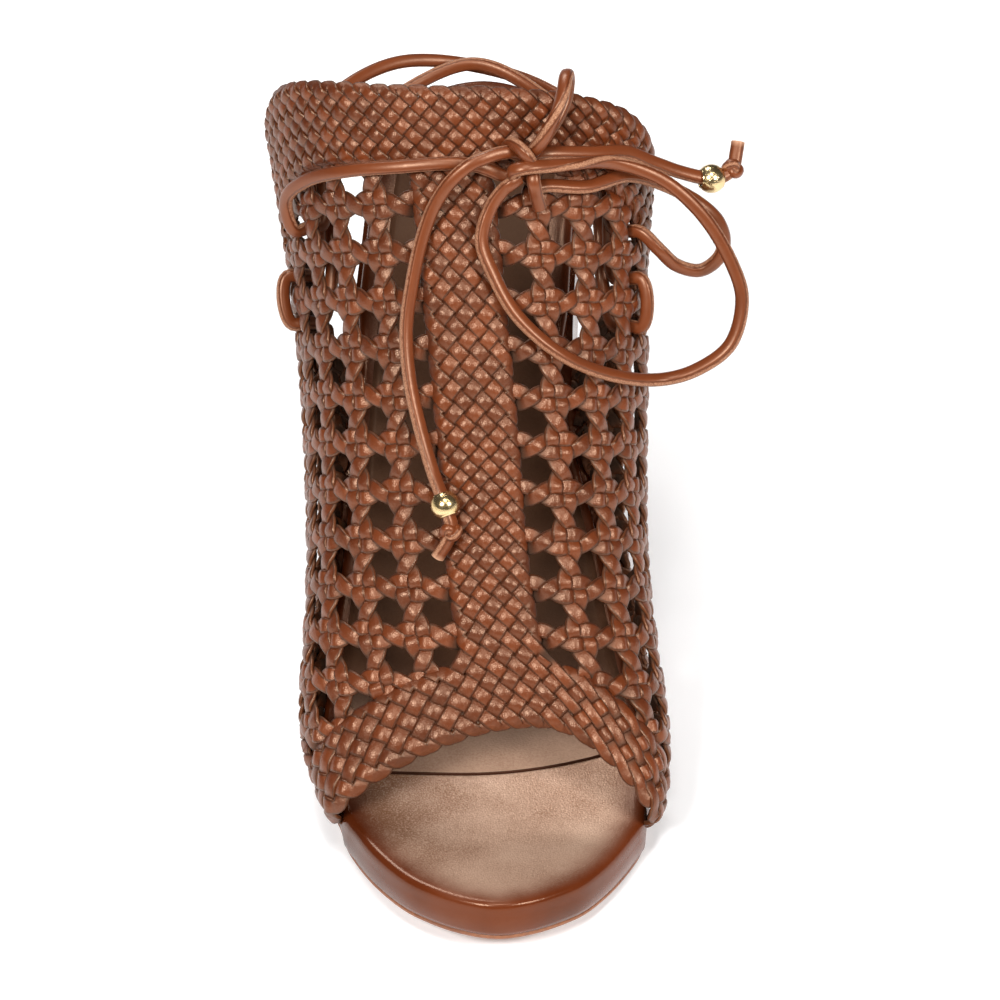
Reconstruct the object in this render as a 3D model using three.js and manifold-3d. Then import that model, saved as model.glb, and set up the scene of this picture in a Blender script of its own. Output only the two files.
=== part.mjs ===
// Woven leather peep-toe wedge shoe for the right foot, tied with a round leather cord.
// Millimetres, +Z up. The toe points to -Y and the big-toe (medial) side is +X.
// While it is being built, y runs from 0 at the toe tip to LENGTH at the back of the heel.
// The finished shoe is then centred, so that its origin is on the floor under the middle of its box.
import * as THREE from 'three';
import { mergeVertices } from 'three/addons/utils/BufferGeometryUtils.js';
import Module from 'manifold-3d';

const wasm = await Module();
wasm.setup();

// Driving dimensions of the sole
const FIT_GAP = 0.3;            // glue line left between pieces
const OUTSOLE_THICK = 3;
const PLATFORM_THICK = 4.5;     // covered platform under the toes
const INSOLE_THICK = 4.2;
const INSOLE_DISH = 1.4;        // how far the footbed's middle lies below its rim
const EDGE_ROUND = 1.6;         // roll of the padded insole's edge
const TOE_SPRING = 6;
const TREAD_START = 45;         // where the sole meets the floor behind the toe
const ARCH = 3;                 // rise of the waist between the forefoot and the heel
const ARCH_FROM = 90;
const ARCH_TOP = 120;
const ARCH_TO = 148;
const HEEL_LEAN = 8;            // the wedge's back leans forward by this much on its way down
const HEEL_TAPER = 0.1;         // share by which the wedge narrows on its way down
const HEEL_HEIGHT = 90;         // height at which that lean and taper are measured

// Driving dimensions of the woven upper
const WALL = 2;                 // plaited leather, without the crown of its strips
const STRIP_CROWN = 0.8;        // how far the strips stand proud
const RIDGE_LENGTH = 148;       // toe edge to collar along the instep
const TOE_BAND = 17;            // close weave behind the toe opening
const COLLAR_BAND = 20;         // close weave along the collar and the back edges
const CENTRE_BAND = 10;         // half the width of the close weave on the instep
const GAP = 6.2;                // side of an open square in the lattice
const BAR = 5.2;                // plaited pair between two open squares
const GAP_ROWS = 10;
const BASE_MARGIN = 11;         // least close weave kept above the sole
const UPPER_INSET = 0.7;        // ledge left outside the upper's lower edge
const UPPER_TUCK = 3.4;         // how far the insole draws in to make room for the upper

// Driving dimensions of the tie
const CORD = 3;
const CORD_SIDES = 6;
const BEAD = 6.6;
const BEAD_HOLE = 4;
const END_KNOT = 5.4;
const END_TAIL = 9;             // from the middle of an end knot to the cord's cut end
const TIE_KNOT = { x: 9.6, y: 121.5, z: 128.4 };
const TIE_KNOT_SIZE = { x: 11, y: 8.4, z: 8.4 };

// Plan of the sole: the lateral and medial edge at distances y from the toe tip
const SOLE_PLAN = [
  { y: 0, lateral: 2.5, medial: 8 },
  { y: 2.5, lateral: -4.5, medial: 14.5 },
  { y: 9, lateral: -12.8, medial: 22 },
  { y: 21, lateral: -22.5, medial: 30.7 },
  { y: 38, lateral: -30.8, medial: 38 },
  { y: 58, lateral: -38, medial: 40.5 },
  { y: 80, lateral: -38, medial: 37.4 },
  { y: 105, lateral: -35, medial: 31.5 },
  { y: 135, lateral: -32, medial: 21.8 },
  { y: 160, lateral: -28.9, medial: 21.8 },
  { y: 181, lateral: -26, medial: 23 },
  { y: 194, lateral: -20, medial: 18.4 },
  { y: 200.7, lateral: -11.8, medial: 10.6 },
  { y: 203, lateral: -4.6, medial: 3.5 },
];

// Side view of the feather line, where the insole lies on the platform and the wedge
const FEATHER_LINE = [
  { y: 45, z: 7.8 },
  { y: 65, z: 7.8 },
  { y: 85, z: 11.5 },
  { y: 110, z: 27 },
  { y: 140, z: 54.5 },
  { y: 162, z: 71.5 },
  { y: 182, z: 80.5 },
  { y: 206, z: 87 },
];

// The last's sections under the upper, from the toe edge (0) to the collar and back edges (1).
// Each half is one smooth curve from the ridge of the instep down to the sole's edge:
// it leaves the ridge level, towards a shoulder handle set out by a share of the half's width,
// bends round a corner handle set outside the sole's edge (bulge) at cornerY, part of the way up,
// and comes down to the sole past a side handle that leans back by the given amount.
// The skew sets the lateral corner further back and the medial corner further forward.
const UPPER_SECTIONS = [
  {
    at: 0, ridgeX: 14, ridgeY: 43.2, ridgeZ: 27.8, shoulder: 0.53,
    bulge: 6.5, cornerY: 18, cornerUp: 0.59, skew: 2, baseY: 33, lean: -3,
  },
  {
    at: 0.2, ridgeX: 6.1, ridgeY: 63.3, ridgeZ: 51, shoulder: 0.45,
    bulge: 6.7, cornerY: 54, cornerUp: 0.6, skew: 1, baseY: 57, lean: 0,
  },
  {
    at: 0.5, ridgeX: 0.5, ridgeY: 89, ridgeZ: 80.7, shoulder: 0.73,
    bulge: 5.2, cornerY: 95.5, cornerUp: 0.65, skew: 3, baseY: 81, lean: 4,
  },
  {
    at: 0.75, ridgeX: -5, ridgeY: 112.8, ridgeZ: 110.3, shoulder: 0.94,
    bulge: 12, cornerY: 139, cornerUp: 0.65, skew: 9, baseY: 105, lean: 9,
  },
  {
    at: 1, ridgeX: -10.5, ridgeY: 134.8, ridgeZ: 140, shoulder: 1.23,
    bulge: 22.5, cornerY: 171, cornerUp: 0.7, skew: 18, baseY: 136, lean: 12,
  },
];
const SIDE_SHARE = 0.6;         // the side handle's share of the bulge
const SIDE_UP = 0.3;            // and of the section's height

const LEATHER = { color: 0x7a4022, roughness: 0.5, metalness: 0 };
const SOLE_LEATHER = { color: 0xa06a3c, roughness: 0.55, metalness: 0 };
const INSOLE_LEATHER = { color: 0x7c5237, roughness: 0.45, metalness: 0.1 };
const CORD_LEATHER = { color: 0x9a5433, roughness: 0.5, metalness: 0 };
const GOLD = { color: 0xd8b978, roughness: 0.2, metalness: 1 };

// A smooth curve through the rows of a table. The shared driver column must rise from row to row.
function through(rows, driver, column, at) {
  const last = rows.length - 1;
  const i = Math.min(last - 1, Math.max(0, rows.findIndex((row) => row[driver] > at) - 1));
  const k = at >= rows[last][driver] ? last - 1 : i;
  const slope = (n) => {
    const before = rows[Math.max(0, n - 1)];
    const after = rows[Math.min(last, n + 1)];
    return (after[column] - before[column]) / (after[driver] - before[driver]);
  };
  const [a, b] = [rows[k], rows[k + 1]];
  const span = b[driver] - a[driver];
  const f = (at - a[driver]) / span;
  const g = 1 - f;
  return g * g * (1 + 2 * f) * a[column] + f * f * (1 + 2 * g) * b[column]
    + f * g * span * (g * slope(k) - f * slope(k + 1));
}

const smoothStep = (from, to, at) => THREE.MathUtils.smoothstep(at, from, to);

// The sole

const PLAN_CURVE = new THREE.CatmullRomCurve3(
  SOLE_PLAN.map((row) => new THREE.Vector3(row.lateral, row.y, row.medial)),
);

// The two edges of the sole's plan at a share (0 to 1) of the way through its table.
function soleRib(share) {
  const p = PLAN_CURVE.getPoint(share);
  return { y: p.y, lateral: p.x, medial: p.z };
}

// The sole's edge on one side, -1 lateral or 1 medial, at a distance from the toe tip.
function soleEdge(side, y) {
  return through(SOLE_PLAN, 'y', side < 0 ? 'lateral' : 'medial', y);
}

// The sole's underside: toe spring, forefoot on the floor, a shallow arch, heel on the floor.
function floorLine(y) {
  const rise = Math.max(0, (TREAD_START - y) / TREAD_START);
  const waist = smoothStep(ARCH_FROM, ARCH_TOP, y) * (1 - smoothStep(ARCH_TOP, ARCH_TO, y));
  return TOE_SPRING * rise * rise + ARCH * waist;
}

function featherLine(y) {
  const platform = floorLine(y) + OUTSOLE_THICK + FIT_GAP + PLATFORM_THICK;
  return y <= TREAD_START ? platform : through(FEATHER_LINE, 'y', 'z', y);
}

// The padded insole draws in beside the upper and fills the sole's plan at toe and heel.
function insoleInset(y) {
  const beside = smoothStep(22, 33, y) * (1 - smoothStep(138, 152, y));
  return 1 + (UPPER_TUCK - 1) * beside;
}

// A closed plate across the sole's ribs. Each function gets y and the place across, from -1 to 1.
function plate({ ribs, across, inset = () => 0, top, bottom, sink = (x, y) => [x, y], whole = false }) {
  const positions = [];
  const triangles = [];
  const point = (x, y, z) => positions.push(x, y, z) / 3 - 1;
  const quad = (a, b, c, d) => triangles.push(a, b, c, a, c, d);
  const rows = [];
  for (let i = 0; i <= ribs; i++) {
    const rib = soleRib(i / ribs);
    const middle = (rib.lateral + rib.medial) / 2;
    const half = (rib.medial - rib.lateral) / 2 - inset(rib.y);
    const upper = [];
    for (let j = 0; j <= across; j++) {
      const share = Math.sin((j / across - 0.5) * Math.PI);
      const [x, y] = whole ? sink(middle + half * share, rib.y) : [middle + half * share, rib.y];
      upper.push(point(x, y, top(rib.y, share)));
    }
    const lower = [-1, 1].map((share) => {
      const [x, y] = sink(middle + half * share, rib.y);
      return point(x, y, bottom(rib.y, share));
    });
    rows.push({ upper, lower });
  }
  const cap = ({ upper, lower }, turned) => {
    const ring = [lower[0], lower[1], ...upper.slice().reverse()];
    for (let k = 1; k < ring.length - 1; k++) {
      if (turned) triangles.push(ring[0], ring[k + 1], ring[k]);
      else triangles.push(ring[0], ring[k], ring[k + 1]);
    }
  };
  for (let i = 0; i < ribs; i++) {
    const [a, b] = [rows[i], rows[i + 1]];
    for (let j = 0; j < across; j++) quad(a.upper[j], a.upper[j + 1], b.upper[j + 1], b.upper[j]);
    quad(a.lower[0], b.lower[0], b.lower[1], a.lower[1]);
    quad(a.lower[0], a.upper[0], b.upper[0], b.lower[0]);
    quad(a.lower[1], b.lower[1], b.upper[across], a.upper[across]);
  }
  cap(rows[0], false);
  cap(rows[ribs], true);
  return indexed(positions, triangles);
}

function indexed(positions, triangles) {
  const geometry = new THREE.BufferGeometry();
  geometry.setAttribute('position', new THREE.Float32BufferAttribute(positions, 3));
  geometry.setIndex(triangles);
  return geometry;
}

// The wedge's foot is smaller than its top: it leans in under the heel and narrows.
function wedgeFoot(x, y) {
  const share = Math.max(0, featherLine(y) - OUTSOLE_THICK - PLATFORM_THICK) / HEEL_HEIGHT;
  return [x * (1 - HEEL_TAPER * share), y - HEEL_LEAN * share];
}

function outsole() {
  return plate({
    ribs: 42,
    across: 2,
    top: (y) => floorLine(y) + OUTSOLE_THICK,
    bottom: (y) => floorLine(y),
    sink: wedgeFoot,
    whole: true,
  });
}

function wedge() {
  return plate({
    ribs: 42,
    across: 4,
    top: (y) => featherLine(y) - FIT_GAP,
    bottom: (y) => floorLine(y) + OUTSOLE_THICK + FIT_GAP,
    sink: wedgeFoot,
  });
}

function insole() {
  return plate({
    ribs: 42,
    across: 8,
    inset: insoleInset,
    top: (y, share) => featherLine(y) + INSOLE_THICK
      - INSOLE_DISH * (1 - share * share) - EDGE_ROUND * Math.abs(share) ** 12,
    bottom: (y) => featherLine(y),
  });
}

// The upper's own surface

function section(at) {
  const row = { at };
  for (const column of Object.keys(UPPER_SECTIONS[0])) {
    if (column !== 'at') row[column] = through(UPPER_SECTIONS, 'at', column, at);
  }
  return row;
}

// A curve from its first handle to its last, drawn towards those between.
class HandleCurve extends THREE.Curve {
  constructor(handles) {
    super();
    this.handles = handles;
    this.arcLengthDivisions = 100;
  }

  getPoint(share, target = new THREE.Vector3()) {
    let row = this.handles;
    while (row.length > 1) {
      const before = row;
      row = before.slice(1).map((p, i) => before[i].clone().lerp(p, share));
    }
    return target.copy(row[0]);
  }
}

// One half of a section, side -1 lateral or 1 medial, as a curve from the ridge down to the sole.
const halfCache = new Map();
function halfSection(side, at) {
  const key = `${side} ${at.toFixed(5)}`;
  if (!halfCache.has(key)) {
    const row = section(at);
    const baseX = soleEdge(side, row.baseY) - side * UPPER_INSET;
    const baseZ = featherLine(row.baseY) + FIT_GAP;
    const height = row.ridgeZ - baseZ;
    const width = Math.abs(baseX - row.ridgeX) + row.bulge;
    const corner = row.cornerY - side * row.skew;
    halfCache.set(key, new HandleCurve([
      new THREE.Vector3(row.ridgeX, row.ridgeY, row.ridgeZ),
      new THREE.Vector3(row.ridgeX + side * row.shoulder * width, row.ridgeY, row.ridgeZ),
      new THREE.Vector3(baseX + side * row.bulge, corner, baseZ + row.cornerUp * height),
      new THREE.Vector3(
        baseX + side * SIDE_SHARE * row.bulge,
        row.baseY + row.lean,
        baseZ + SIDE_UP * height,
      ),
      new THREE.Vector3(baseX, row.baseY, baseZ),
    ]));
  }
  return halfCache.get(key);
}

const girth = (side, at) => halfSection(side, at).getLength();

// A point of the last: u is the way round from the ridge (medial positive), s the way up from the toe edge.
function lastPoint(u, s) {
  const half = halfSection(u < 0 ? -1 : 1, THREE.MathUtils.clamp(s / RIDGE_LENGTH, 0, 1));
  return half.getPointAt(Math.min(1, Math.abs(u) / half.getLength()));
}

function lastNormal(u, s) {
  const step = 0.5;
  const side = u < 0 ? -1 : 1;
  const low = Math.max(0, s - step);
  const high = Math.min(RIDGE_LENGTH, s + step);
  const most = Math.min(girth(side, low / RIDGE_LENGTH), girth(side, high / RIDGE_LENGTH)) - step;
  const v = side * Math.min(Math.abs(u), most);
  const round = lastPoint(v + step, s).sub(lastPoint(v - step, s));
  const up = lastPoint(v, high).sub(lastPoint(v, low));
  return round.cross(up).normalize();
}

// A point on the upper, lifted off its outer face (or sunk into it, where lift is negative).
function upperPoint(u, s, lift) {
  return lastPoint(u, s).addScaledVector(lastNormal(u, s), lift);
}

// The weave

// The lattice's rows along s: close weave, then open squares and plaited bars in turn, then close weave.
function weaveRows() {
  const rows = [];
  const band = (from, to, count) => {
    for (let i = 0; i < count; i++) {
      rows.push({ from: from + ((to - from) * i) / count, open: false });
    }
  };
  band(0, TOE_BAND, 4);
  const field = RIDGE_LENGTH - TOE_BAND - COLLAR_BAND;
  const scale = field / (GAP_ROWS * GAP + (GAP_ROWS - 1) * BAR);
  let s = TOE_BAND;
  for (let i = 0; i < GAP_ROWS; i++) {
    rows.push({ from: s, open: true });
    s += GAP * scale;
    if (i < GAP_ROWS - 1) {
      rows.push({ from: s, open: false });
      s += BAR * scale;
    }
  }
  band(s, RIDGE_LENGTH, 5);
  return rows.map((row, i) => ({ ...row, to: rows[i + 1]?.from ?? RIDGE_LENGTH }));
}

// The lattice's columns on one side, from the middle of the instep outwards.
function weaveColumns() {
  const columns = [
    { from: 0, to: CENTRE_BAND / 2, open: false },
    { from: CENTRE_BAND / 2, to: CENTRE_BAND, open: false },
  ];
  for (let u = CENTRE_BAND; u < 140; u += GAP + BAR) {
    columns.push({ from: u, to: u + GAP, open: true });
    columns.push({ from: u + GAP, to: u + GAP + BAR, open: false });
  }
  return columns;
}

const ROWS = weaveRows();
const COLUMNS = weaveColumns();
const OPEN_ROWS = ROWS.filter((row) => row.open);
const OPEN_COLUMNS = COLUMNS.filter((column) => column.open);

// How many whole columns one row has before the close weave above the sole.
function columnsInRow(side, row) {
  const room = Math.min(girth(side, row.from / RIDGE_LENGTH), girth(side, row.to / RIDGE_LENGTH));
  return COLUMNS.filter((column) => column.to <= room - BASE_MARGIN).length;
}

// The middle of an open square, counted from the toe band and from the centre band.
function openSquare(side, rowNumber, columnNumber) {
  const row = OPEN_ROWS[rowNumber];
  const column = OPEN_COLUMNS[columnNumber];
  return { u: (side * (column.from + column.to)) / 2, s: (row.from + row.to) / 2 };
}

// The woven upper: one wall, each square of its weave crowned, the open squares left out.
function upper() {
  const positions = [];
  const triangles = [];
  const corners = new Map();
  const addPoint = (p) => positions.push(p.x, p.y, p.z) / 3 - 1;
  const settle = (p) => {
    p.z = Math.max(p.z, featherLine(p.y) + FIT_GAP);
    return p;
  };
  // A corner has an outer and an inner point. Column Infinity is the lower edge on the sole.
  const corner = (side, s, u) => {
    const key = `${u === 0 ? 0 : side} ${s.toFixed(3)} ${u.toFixed(3)}`;
    if (!corners.has(key)) {
      const reach = Math.min(u, girth(side, s / RIDGE_LENGTH)) * side;
      corners.set(key, {
        key,
        outer: addPoint(settle(upperPoint(reach, s, 0))),
        inner: addPoint(settle(upperPoint(reach, s, -WALL))),
      });
    }
    return corners.get(key);
  };
  const edges = new Map();
  const addCell = (ring, middle) => {
    const top = addPoint(upperPoint(middle.u, middle.s, STRIP_CROWN));
    ring.forEach((a, i) => {
      const b = ring[(i + 1) % ring.length];
      triangles.push(top, a.outer, b.outer);
      edges.set(`${a.key}|${b.key}`, [a, b]);
    });
    for (let i = 1; i < ring.length - 1; i++) {
      triangles.push(ring[0].inner, ring[i + 1].inner, ring[i].inner);
    }
  };
  for (const side of [-1, 1]) {
    const counts = ROWS.map((row) => columnsInRow(side, row));
    const lineEnd = (line) => Math.max(counts[line - 1] ?? 0, counts[line] ?? 0);
    ROWS.forEach((row, r) => {
      for (let c = 0; c <= counts[r]; c++) {
        const last = c === counts[r];
        if (!last && row.open && COLUMNS[c].open) continue;
        const from = COLUMNS[c].from;
        const lineEdge = (s, line) => {
          const found = [corner(side, s, from)];
          if (!last) return [...found, corner(side, s, COLUMNS[c].to)];
          for (let k = counts[r]; k < lineEnd(line); k++) found.push(corner(side, s, COLUMNS[k].to));
          return [...found, corner(side, s, Infinity)];
        };
        const lower = lineEdge(row.from, r);
        const higher = lineEdge(row.to, r + 1);
        const ring = [...lower, ...higher.reverse()];
        const s = (row.from + row.to) / 2;
        const reach = last ? girth(side, s / RIDGE_LENGTH) : COLUMNS[c].to;
        addCell(side > 0 ? ring : ring.reverse(), { u: (side * (from + reach)) / 2, s });
      }
    });
  }
  for (const [a, b] of edges.values()) {
    if (edges.has(`${b.key}|${a.key}`)) continue;
    triangles.push(a.outer, a.inner, b.inner, a.outer, b.inner, b.outer);
  }
  return indexed(positions, triangles);
}

// The tie

// A cord's route: points on the upper (u, s, lift) and points in the open (x, y, z).
function route(rows) {
  const points = rows.map((row) => ('lift' in row
    ? upperPoint(row.u, row.s, row.lift)
    : new THREE.Vector3(row.x, row.y, row.z)));
  return new THREE.CatmullRomCurve3(points);
}

// The way through an open square of the lattice, at the given lifts.
function throughSquare(side, row, column, lifts) {
  return lifts.map((lift) => ({ ...openSquare(side, row, column), lift }));
}

const LATERAL = -1;
const MEDIAL = 1;
const INWARDS = [1.5, -2, -5.5];
const OUTWARDS = [-5.5, -2, 1.5];

// One long cord: across the front, in at the lateral side, three times round behind the ankle,
// out at the medial side, and in a slack loop back to the knot.
const WRAPS = [
  { u: 11.4, s: 131.2, lift: 3.2 },
  { u: 2, s: 130.4, lift: 2.9 },
  { u: -10, s: 129.6, lift: 2.9 },
  { u: -22, s: 128.8, lift: 2.9 },
  { u: -34, s: 128, lift: 2.9 },
  { u: -43, s: 126.6, lift: 3.6 },
  ...throughSquare(LATERAL, 9, 3, INWARDS),
  { u: -50, s: 134, lift: -9 },
  { x: -37, y: 163, z: 110 },
  { x: -20, y: 180, z: 110.5 },
  { x: 6, y: 184, z: 104 },
  { x: 22, y: 172, z: 103 },
  { x: 27, y: 158, z: 102 },
  { u: 57, s: 136, lift: -9 },
  ...throughSquare(MEDIAL, 9, 4, OUTWARDS),
  { u: 58.7, s: 119, lift: 5 },
  ...throughSquare(MEDIAL, 8, 4, INWARDS),
  { u: 65, s: 125, lift: -10 },
  { u: 70, s: 138, lift: -11 },
  { x: 24, y: 161, z: 95.5 },
  { x: 2, y: 180, z: 96.5 },
  { x: -30, y: 166, z: 95 },
  { u: -70, s: 138, lift: -11.5 },
  { u: -65, s: 125, lift: -10 },
  ...throughSquare(LATERAL, 8, 4, OUTWARDS),
  { u: -58.7, s: 119, lift: 5 },
  ...throughSquare(LATERAL, 9, 4, INWARDS),
  { u: -57, s: 137, lift: -9.5 },
  { x: -33, y: 162, z: 103 },
  { x: -3, y: 179, z: 111 },
  { x: 17, y: 167, z: 108 },
  { u: 47, s: 137, lift: -9.5 },
  ...throughSquare(MEDIAL, 9, 3, OUTWARDS),
  { x: 40.5, y: 125.5, z: 100 },
  { x: 44.5, y: 125.5, z: 95.5 },
  { x: 49.9, y: 125.8, z: 93.8 },
  { x: 54.1, y: 126.3, z: 97.3 },
  { x: 55.1, y: 127.5, z: 101.6 },
  { x: 53.4, y: 128.5, z: 106.5 },
  { x: 48.8, y: 129.6, z: 110.8 },
  { x: 40.8, y: 131.8, z: 114.2 },
  { u: 43, s: 134.2, lift: 2.9 },
  { u: 31, s: 128.2, lift: 2.9 },
  { u: 22, s: 126.8, lift: 3 },
];

// The large bow loop, out to the medial side and back over the instep.
const SIDE_LOOP = [
  { x: 15.7, y: 120.3, z: 127 },
  { u: 28, s: 132, lift: 6.5 },
  { u: 36.2, s: 135, lift: 6.5 },
  { x: 40.6, y: 126.3, z: 120 },
  { x: 49.8, y: 123.5, z: 112.2 },
  { x: 56.8, y: 119.2, z: 101.3 },
  { x: 59.2, y: 115.4, z: 94.1 },
  { x: 56.7, y: 110.1, z: 85.2 },
  { x: 49.3, y: 106.9, z: 80.4 },
  { x: 41.4, y: 105.3, z: 78.7 },
  { u: 34, s: 91.5, lift: 3.1 },
  { u: 19.8, s: 90.8, lift: 3 },
  { u: 10.8, s: 97.5, lift: 2.9 },
  { u: 7, s: 105.8, lift: 2.9 },
  { u: 5.5, s: 113.2, lift: 2.9 },
  { u: 8.5, s: 120.8, lift: 3.4 },
  { x: 5.2, y: 118.7, z: 123 },
];

// The small bow loop, which stands up in front of the collar.
const TOP_LOOP = [
  { x: 12.6, y: 123.2, z: 133.2 },
  { x: 15.4, y: 125.8, z: 134 },
  { x: 18.4, y: 129.8, z: 136.8 },
  { x: 19.5, y: 133.6, z: 140.2 },
  { x: 18.3, y: 135, z: 144.2 },
  { x: 19.3, y: 130.4, z: 143 },
  { x: 18.2, y: 126.2, z: 140 },
  { x: 15, y: 121.7, z: 136.5 },
  { x: 10.6, y: 118.6, z: 133.4 },
];

// The loose end on the medial side.
const SIDE_END = [
  { x: 14.6, y: 125, z: 128.4 },
  { u: 33.2, s: 135.8, lift: 2.9 },
  { u: 43, s: 138.8, lift: 2.9 },
  { x: 39.6, y: 134.7, z: 118.9 },
  { x: 45.3, y: 135.6, z: 115.6 },
  { x: 51, y: 136.5, z: 113.8 },
  { x: 56, y: 138.4, z: 113.6 },
  { x: 59, y: 142.4, z: 116 },
];

// The loose end that hangs down the instep.
const FRONT_END = [
  { x: 3.6, y: 120.2, z: 130.6 },
  { u: 5.5, s: 130.5, lift: 7 },
  { u: 1, s: 126.8, lift: 6.2 },
  { u: -3.5, s: 120.8, lift: 4.2 },
  { u: -7.2, s: 113.2, lift: 3.2 },
  { u: -10.2, s: 105, lift: 2.9 },
  { u: -13.2, s: 94.5, lift: 2.9 },
  { u: -14, s: 84, lift: 2.9 },
  { u: -13.2, s: 72.8, lift: 2.9 },
  { u: -12.5, s: 63, lift: 3.2 },
  { u: -11, s: 55.5, lift: 4.3 },
  { u: -9.8, s: 50, lift: 4.5 },
  { u: -9, s: 44.5, lift: 4 },
  { u: -8.4, s: 37, lift: 2.9 },
];

// A round cord along its route.
function cord(curve, steps) {
  const outline = new THREE.Shape();
  for (let k = 0; k < CORD_SIDES; k++) {
    const angle = (k * 2 * Math.PI) / CORD_SIDES;
    const [x, y] = [(CORD / 2) * Math.cos(angle), (CORD / 2) * Math.sin(angle)];
    if (k === 0) outline.moveTo(x, y);
    else outline.lineTo(x, y);
  }
  outline.closePath();
  return new THREE.ExtrudeGeometry(outline, { steps, extrudePath: curve });
}

function solid(geometry) {
  const bare = new THREE.BufferGeometry();
  bare.setAttribute('position', geometry.getAttribute('position'));
  if (geometry.index) bare.setIndex(geometry.index);
  const merged = mergeVertices(bare, 1e-4);
  return new wasm.Manifold(new wasm.Mesh({
    numProp: 3,
    vertProperties: new Float32Array(merged.getAttribute('position').array),
    triVerts: new Uint32Array(merged.index.array),
  }));
}

function joined(first, second) {
  const mesh = solid(first).add(solid(second)).getMesh();
  return indexed(Array.from(mesh.vertProperties), Array.from(mesh.triVerts));
}

const endKnotAt = (curve) => curve.getLength() - END_TAIL;

// A loose end: the cord with a single knot tied in it.
function looseEnd(curve, steps) {
  const knot = new THREE.IcosahedronGeometry(END_KNOT / 2, 1);
  const at = curve.getPointAt(endKnotAt(curve) / curve.getLength());
  knot.translate(at.x, at.y, at.z);
  return joined(cord(curve, steps), knot);
}

// A bored bead, held on a loose end by that knot.
function bead(curve) {
  const half = Math.sqrt(BEAD * BEAD - BEAD_HOLE * BEAD_HOLE) / 2;
  const tilt = Math.atan2(half, BEAD_HOLE / 2);
  const profile = [];
  for (let k = 0; k <= 6; k++) {
    const angle = tilt * (k / 3 - 1);
    profile.push(new THREE.Vector2((BEAD / 2) * Math.cos(angle), (BEAD / 2) * Math.sin(angle)));
  }
  profile.push(profile[0].clone());
  const geometry = new THREE.LatheGeometry(profile, 14);
  const share = (endKnotAt(curve) - END_KNOT / 2 - 2 * FIT_GAP - half) / curve.getLength();
  const up = new THREE.Vector3(0, 1, 0);
  geometry.applyQuaternion(new THREE.Quaternion().setFromUnitVectors(up, curve.getTangentAt(share)));
  const at = curve.getPointAt(share);
  return geometry.translate(at.x, at.y, at.z);
}

// The tie's knot, drawn up tight.
function tieKnot() {
  const geometry = new THREE.SphereGeometry(0.5, 14, 8);
  geometry.scale(TIE_KNOT_SIZE.x, TIE_KNOT_SIZE.y, TIE_KNOT_SIZE.z);
  return geometry.translate(TIE_KNOT.x, TIE_KNOT.y, TIE_KNOT.z);
}

// Assembly

function material(finish) {
  return new THREE.MeshStandardMaterial(finish);
}

function piece(name, geometry, finish) {
  geometry.computeVertexNormals();
  const mesh = new THREE.Mesh(geometry, material(finish));
  mesh.name = name;
  return mesh;
}

const shoe = new THREE.Group();
shoe.add(
  piece('outsole', outsole(), SOLE_LEATHER),
  piece('wedge_platform', wedge(), LEATHER),
  piece('insole', insole(), INSOLE_LEATHER),
  piece('woven_upper', upper(), LEATHER),
);

const box = new THREE.Box3().setFromObject(shoe, true);

const sideEnd = route(SIDE_END);
const frontEnd = route(FRONT_END);
shoe.add(
  piece('tie_wraps', cord(route(WRAPS), 150), CORD_LEATHER),
  piece('tie_knot', tieKnot(), CORD_LEATHER),
  piece('bow_loop_side', cord(route(SIDE_LOOP), 44), CORD_LEATHER),
  piece('bow_loop_top', cord(route(TOP_LOOP), 22), CORD_LEATHER),
  piece('tie_end_side', looseEnd(sideEnd, 16), CORD_LEATHER),
  piece('tie_end_front', looseEnd(frontEnd, 26), CORD_LEATHER),
  piece('bead_side', bead(sideEnd), GOLD),
  piece('bead_front', bead(frontEnd), GOLD),
);

// The origin is set by the shoe itself, without its tie.
shoe.position.set(-(box.min.x + box.max.x) / 2, -(box.min.y + box.max.y) / 2, -box.min.z);

const part = new THREE.Group();
part.add(shoe);

export default part;
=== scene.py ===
"""Looks of the woven leather peep-toe wedge shoe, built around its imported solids.

Shapes are worked out in millimetres on the last, with y from the toe tip and +x to the big toe,
and moved into the row frame, in metres, when each mesh is made.
"""
import math

import bpy
import numpy as np
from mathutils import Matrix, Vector


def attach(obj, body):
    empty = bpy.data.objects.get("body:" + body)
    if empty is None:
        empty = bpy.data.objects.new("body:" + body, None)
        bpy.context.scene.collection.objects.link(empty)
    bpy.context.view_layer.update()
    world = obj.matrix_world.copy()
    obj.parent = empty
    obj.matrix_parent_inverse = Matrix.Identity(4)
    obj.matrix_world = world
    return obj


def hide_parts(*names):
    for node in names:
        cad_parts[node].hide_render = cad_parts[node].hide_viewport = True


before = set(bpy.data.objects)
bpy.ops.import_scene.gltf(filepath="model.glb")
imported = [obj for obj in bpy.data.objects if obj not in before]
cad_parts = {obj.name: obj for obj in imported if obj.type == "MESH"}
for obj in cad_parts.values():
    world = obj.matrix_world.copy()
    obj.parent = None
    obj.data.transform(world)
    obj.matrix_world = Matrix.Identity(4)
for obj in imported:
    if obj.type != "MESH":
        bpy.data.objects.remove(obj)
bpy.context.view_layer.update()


# Outsole: a 3 mm leather sole cut to the plan of the last, with toe spring and a low arch.
# It is cemented under the wedge, and only the lowest part of its edge shows, as a thin tan line.

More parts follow.
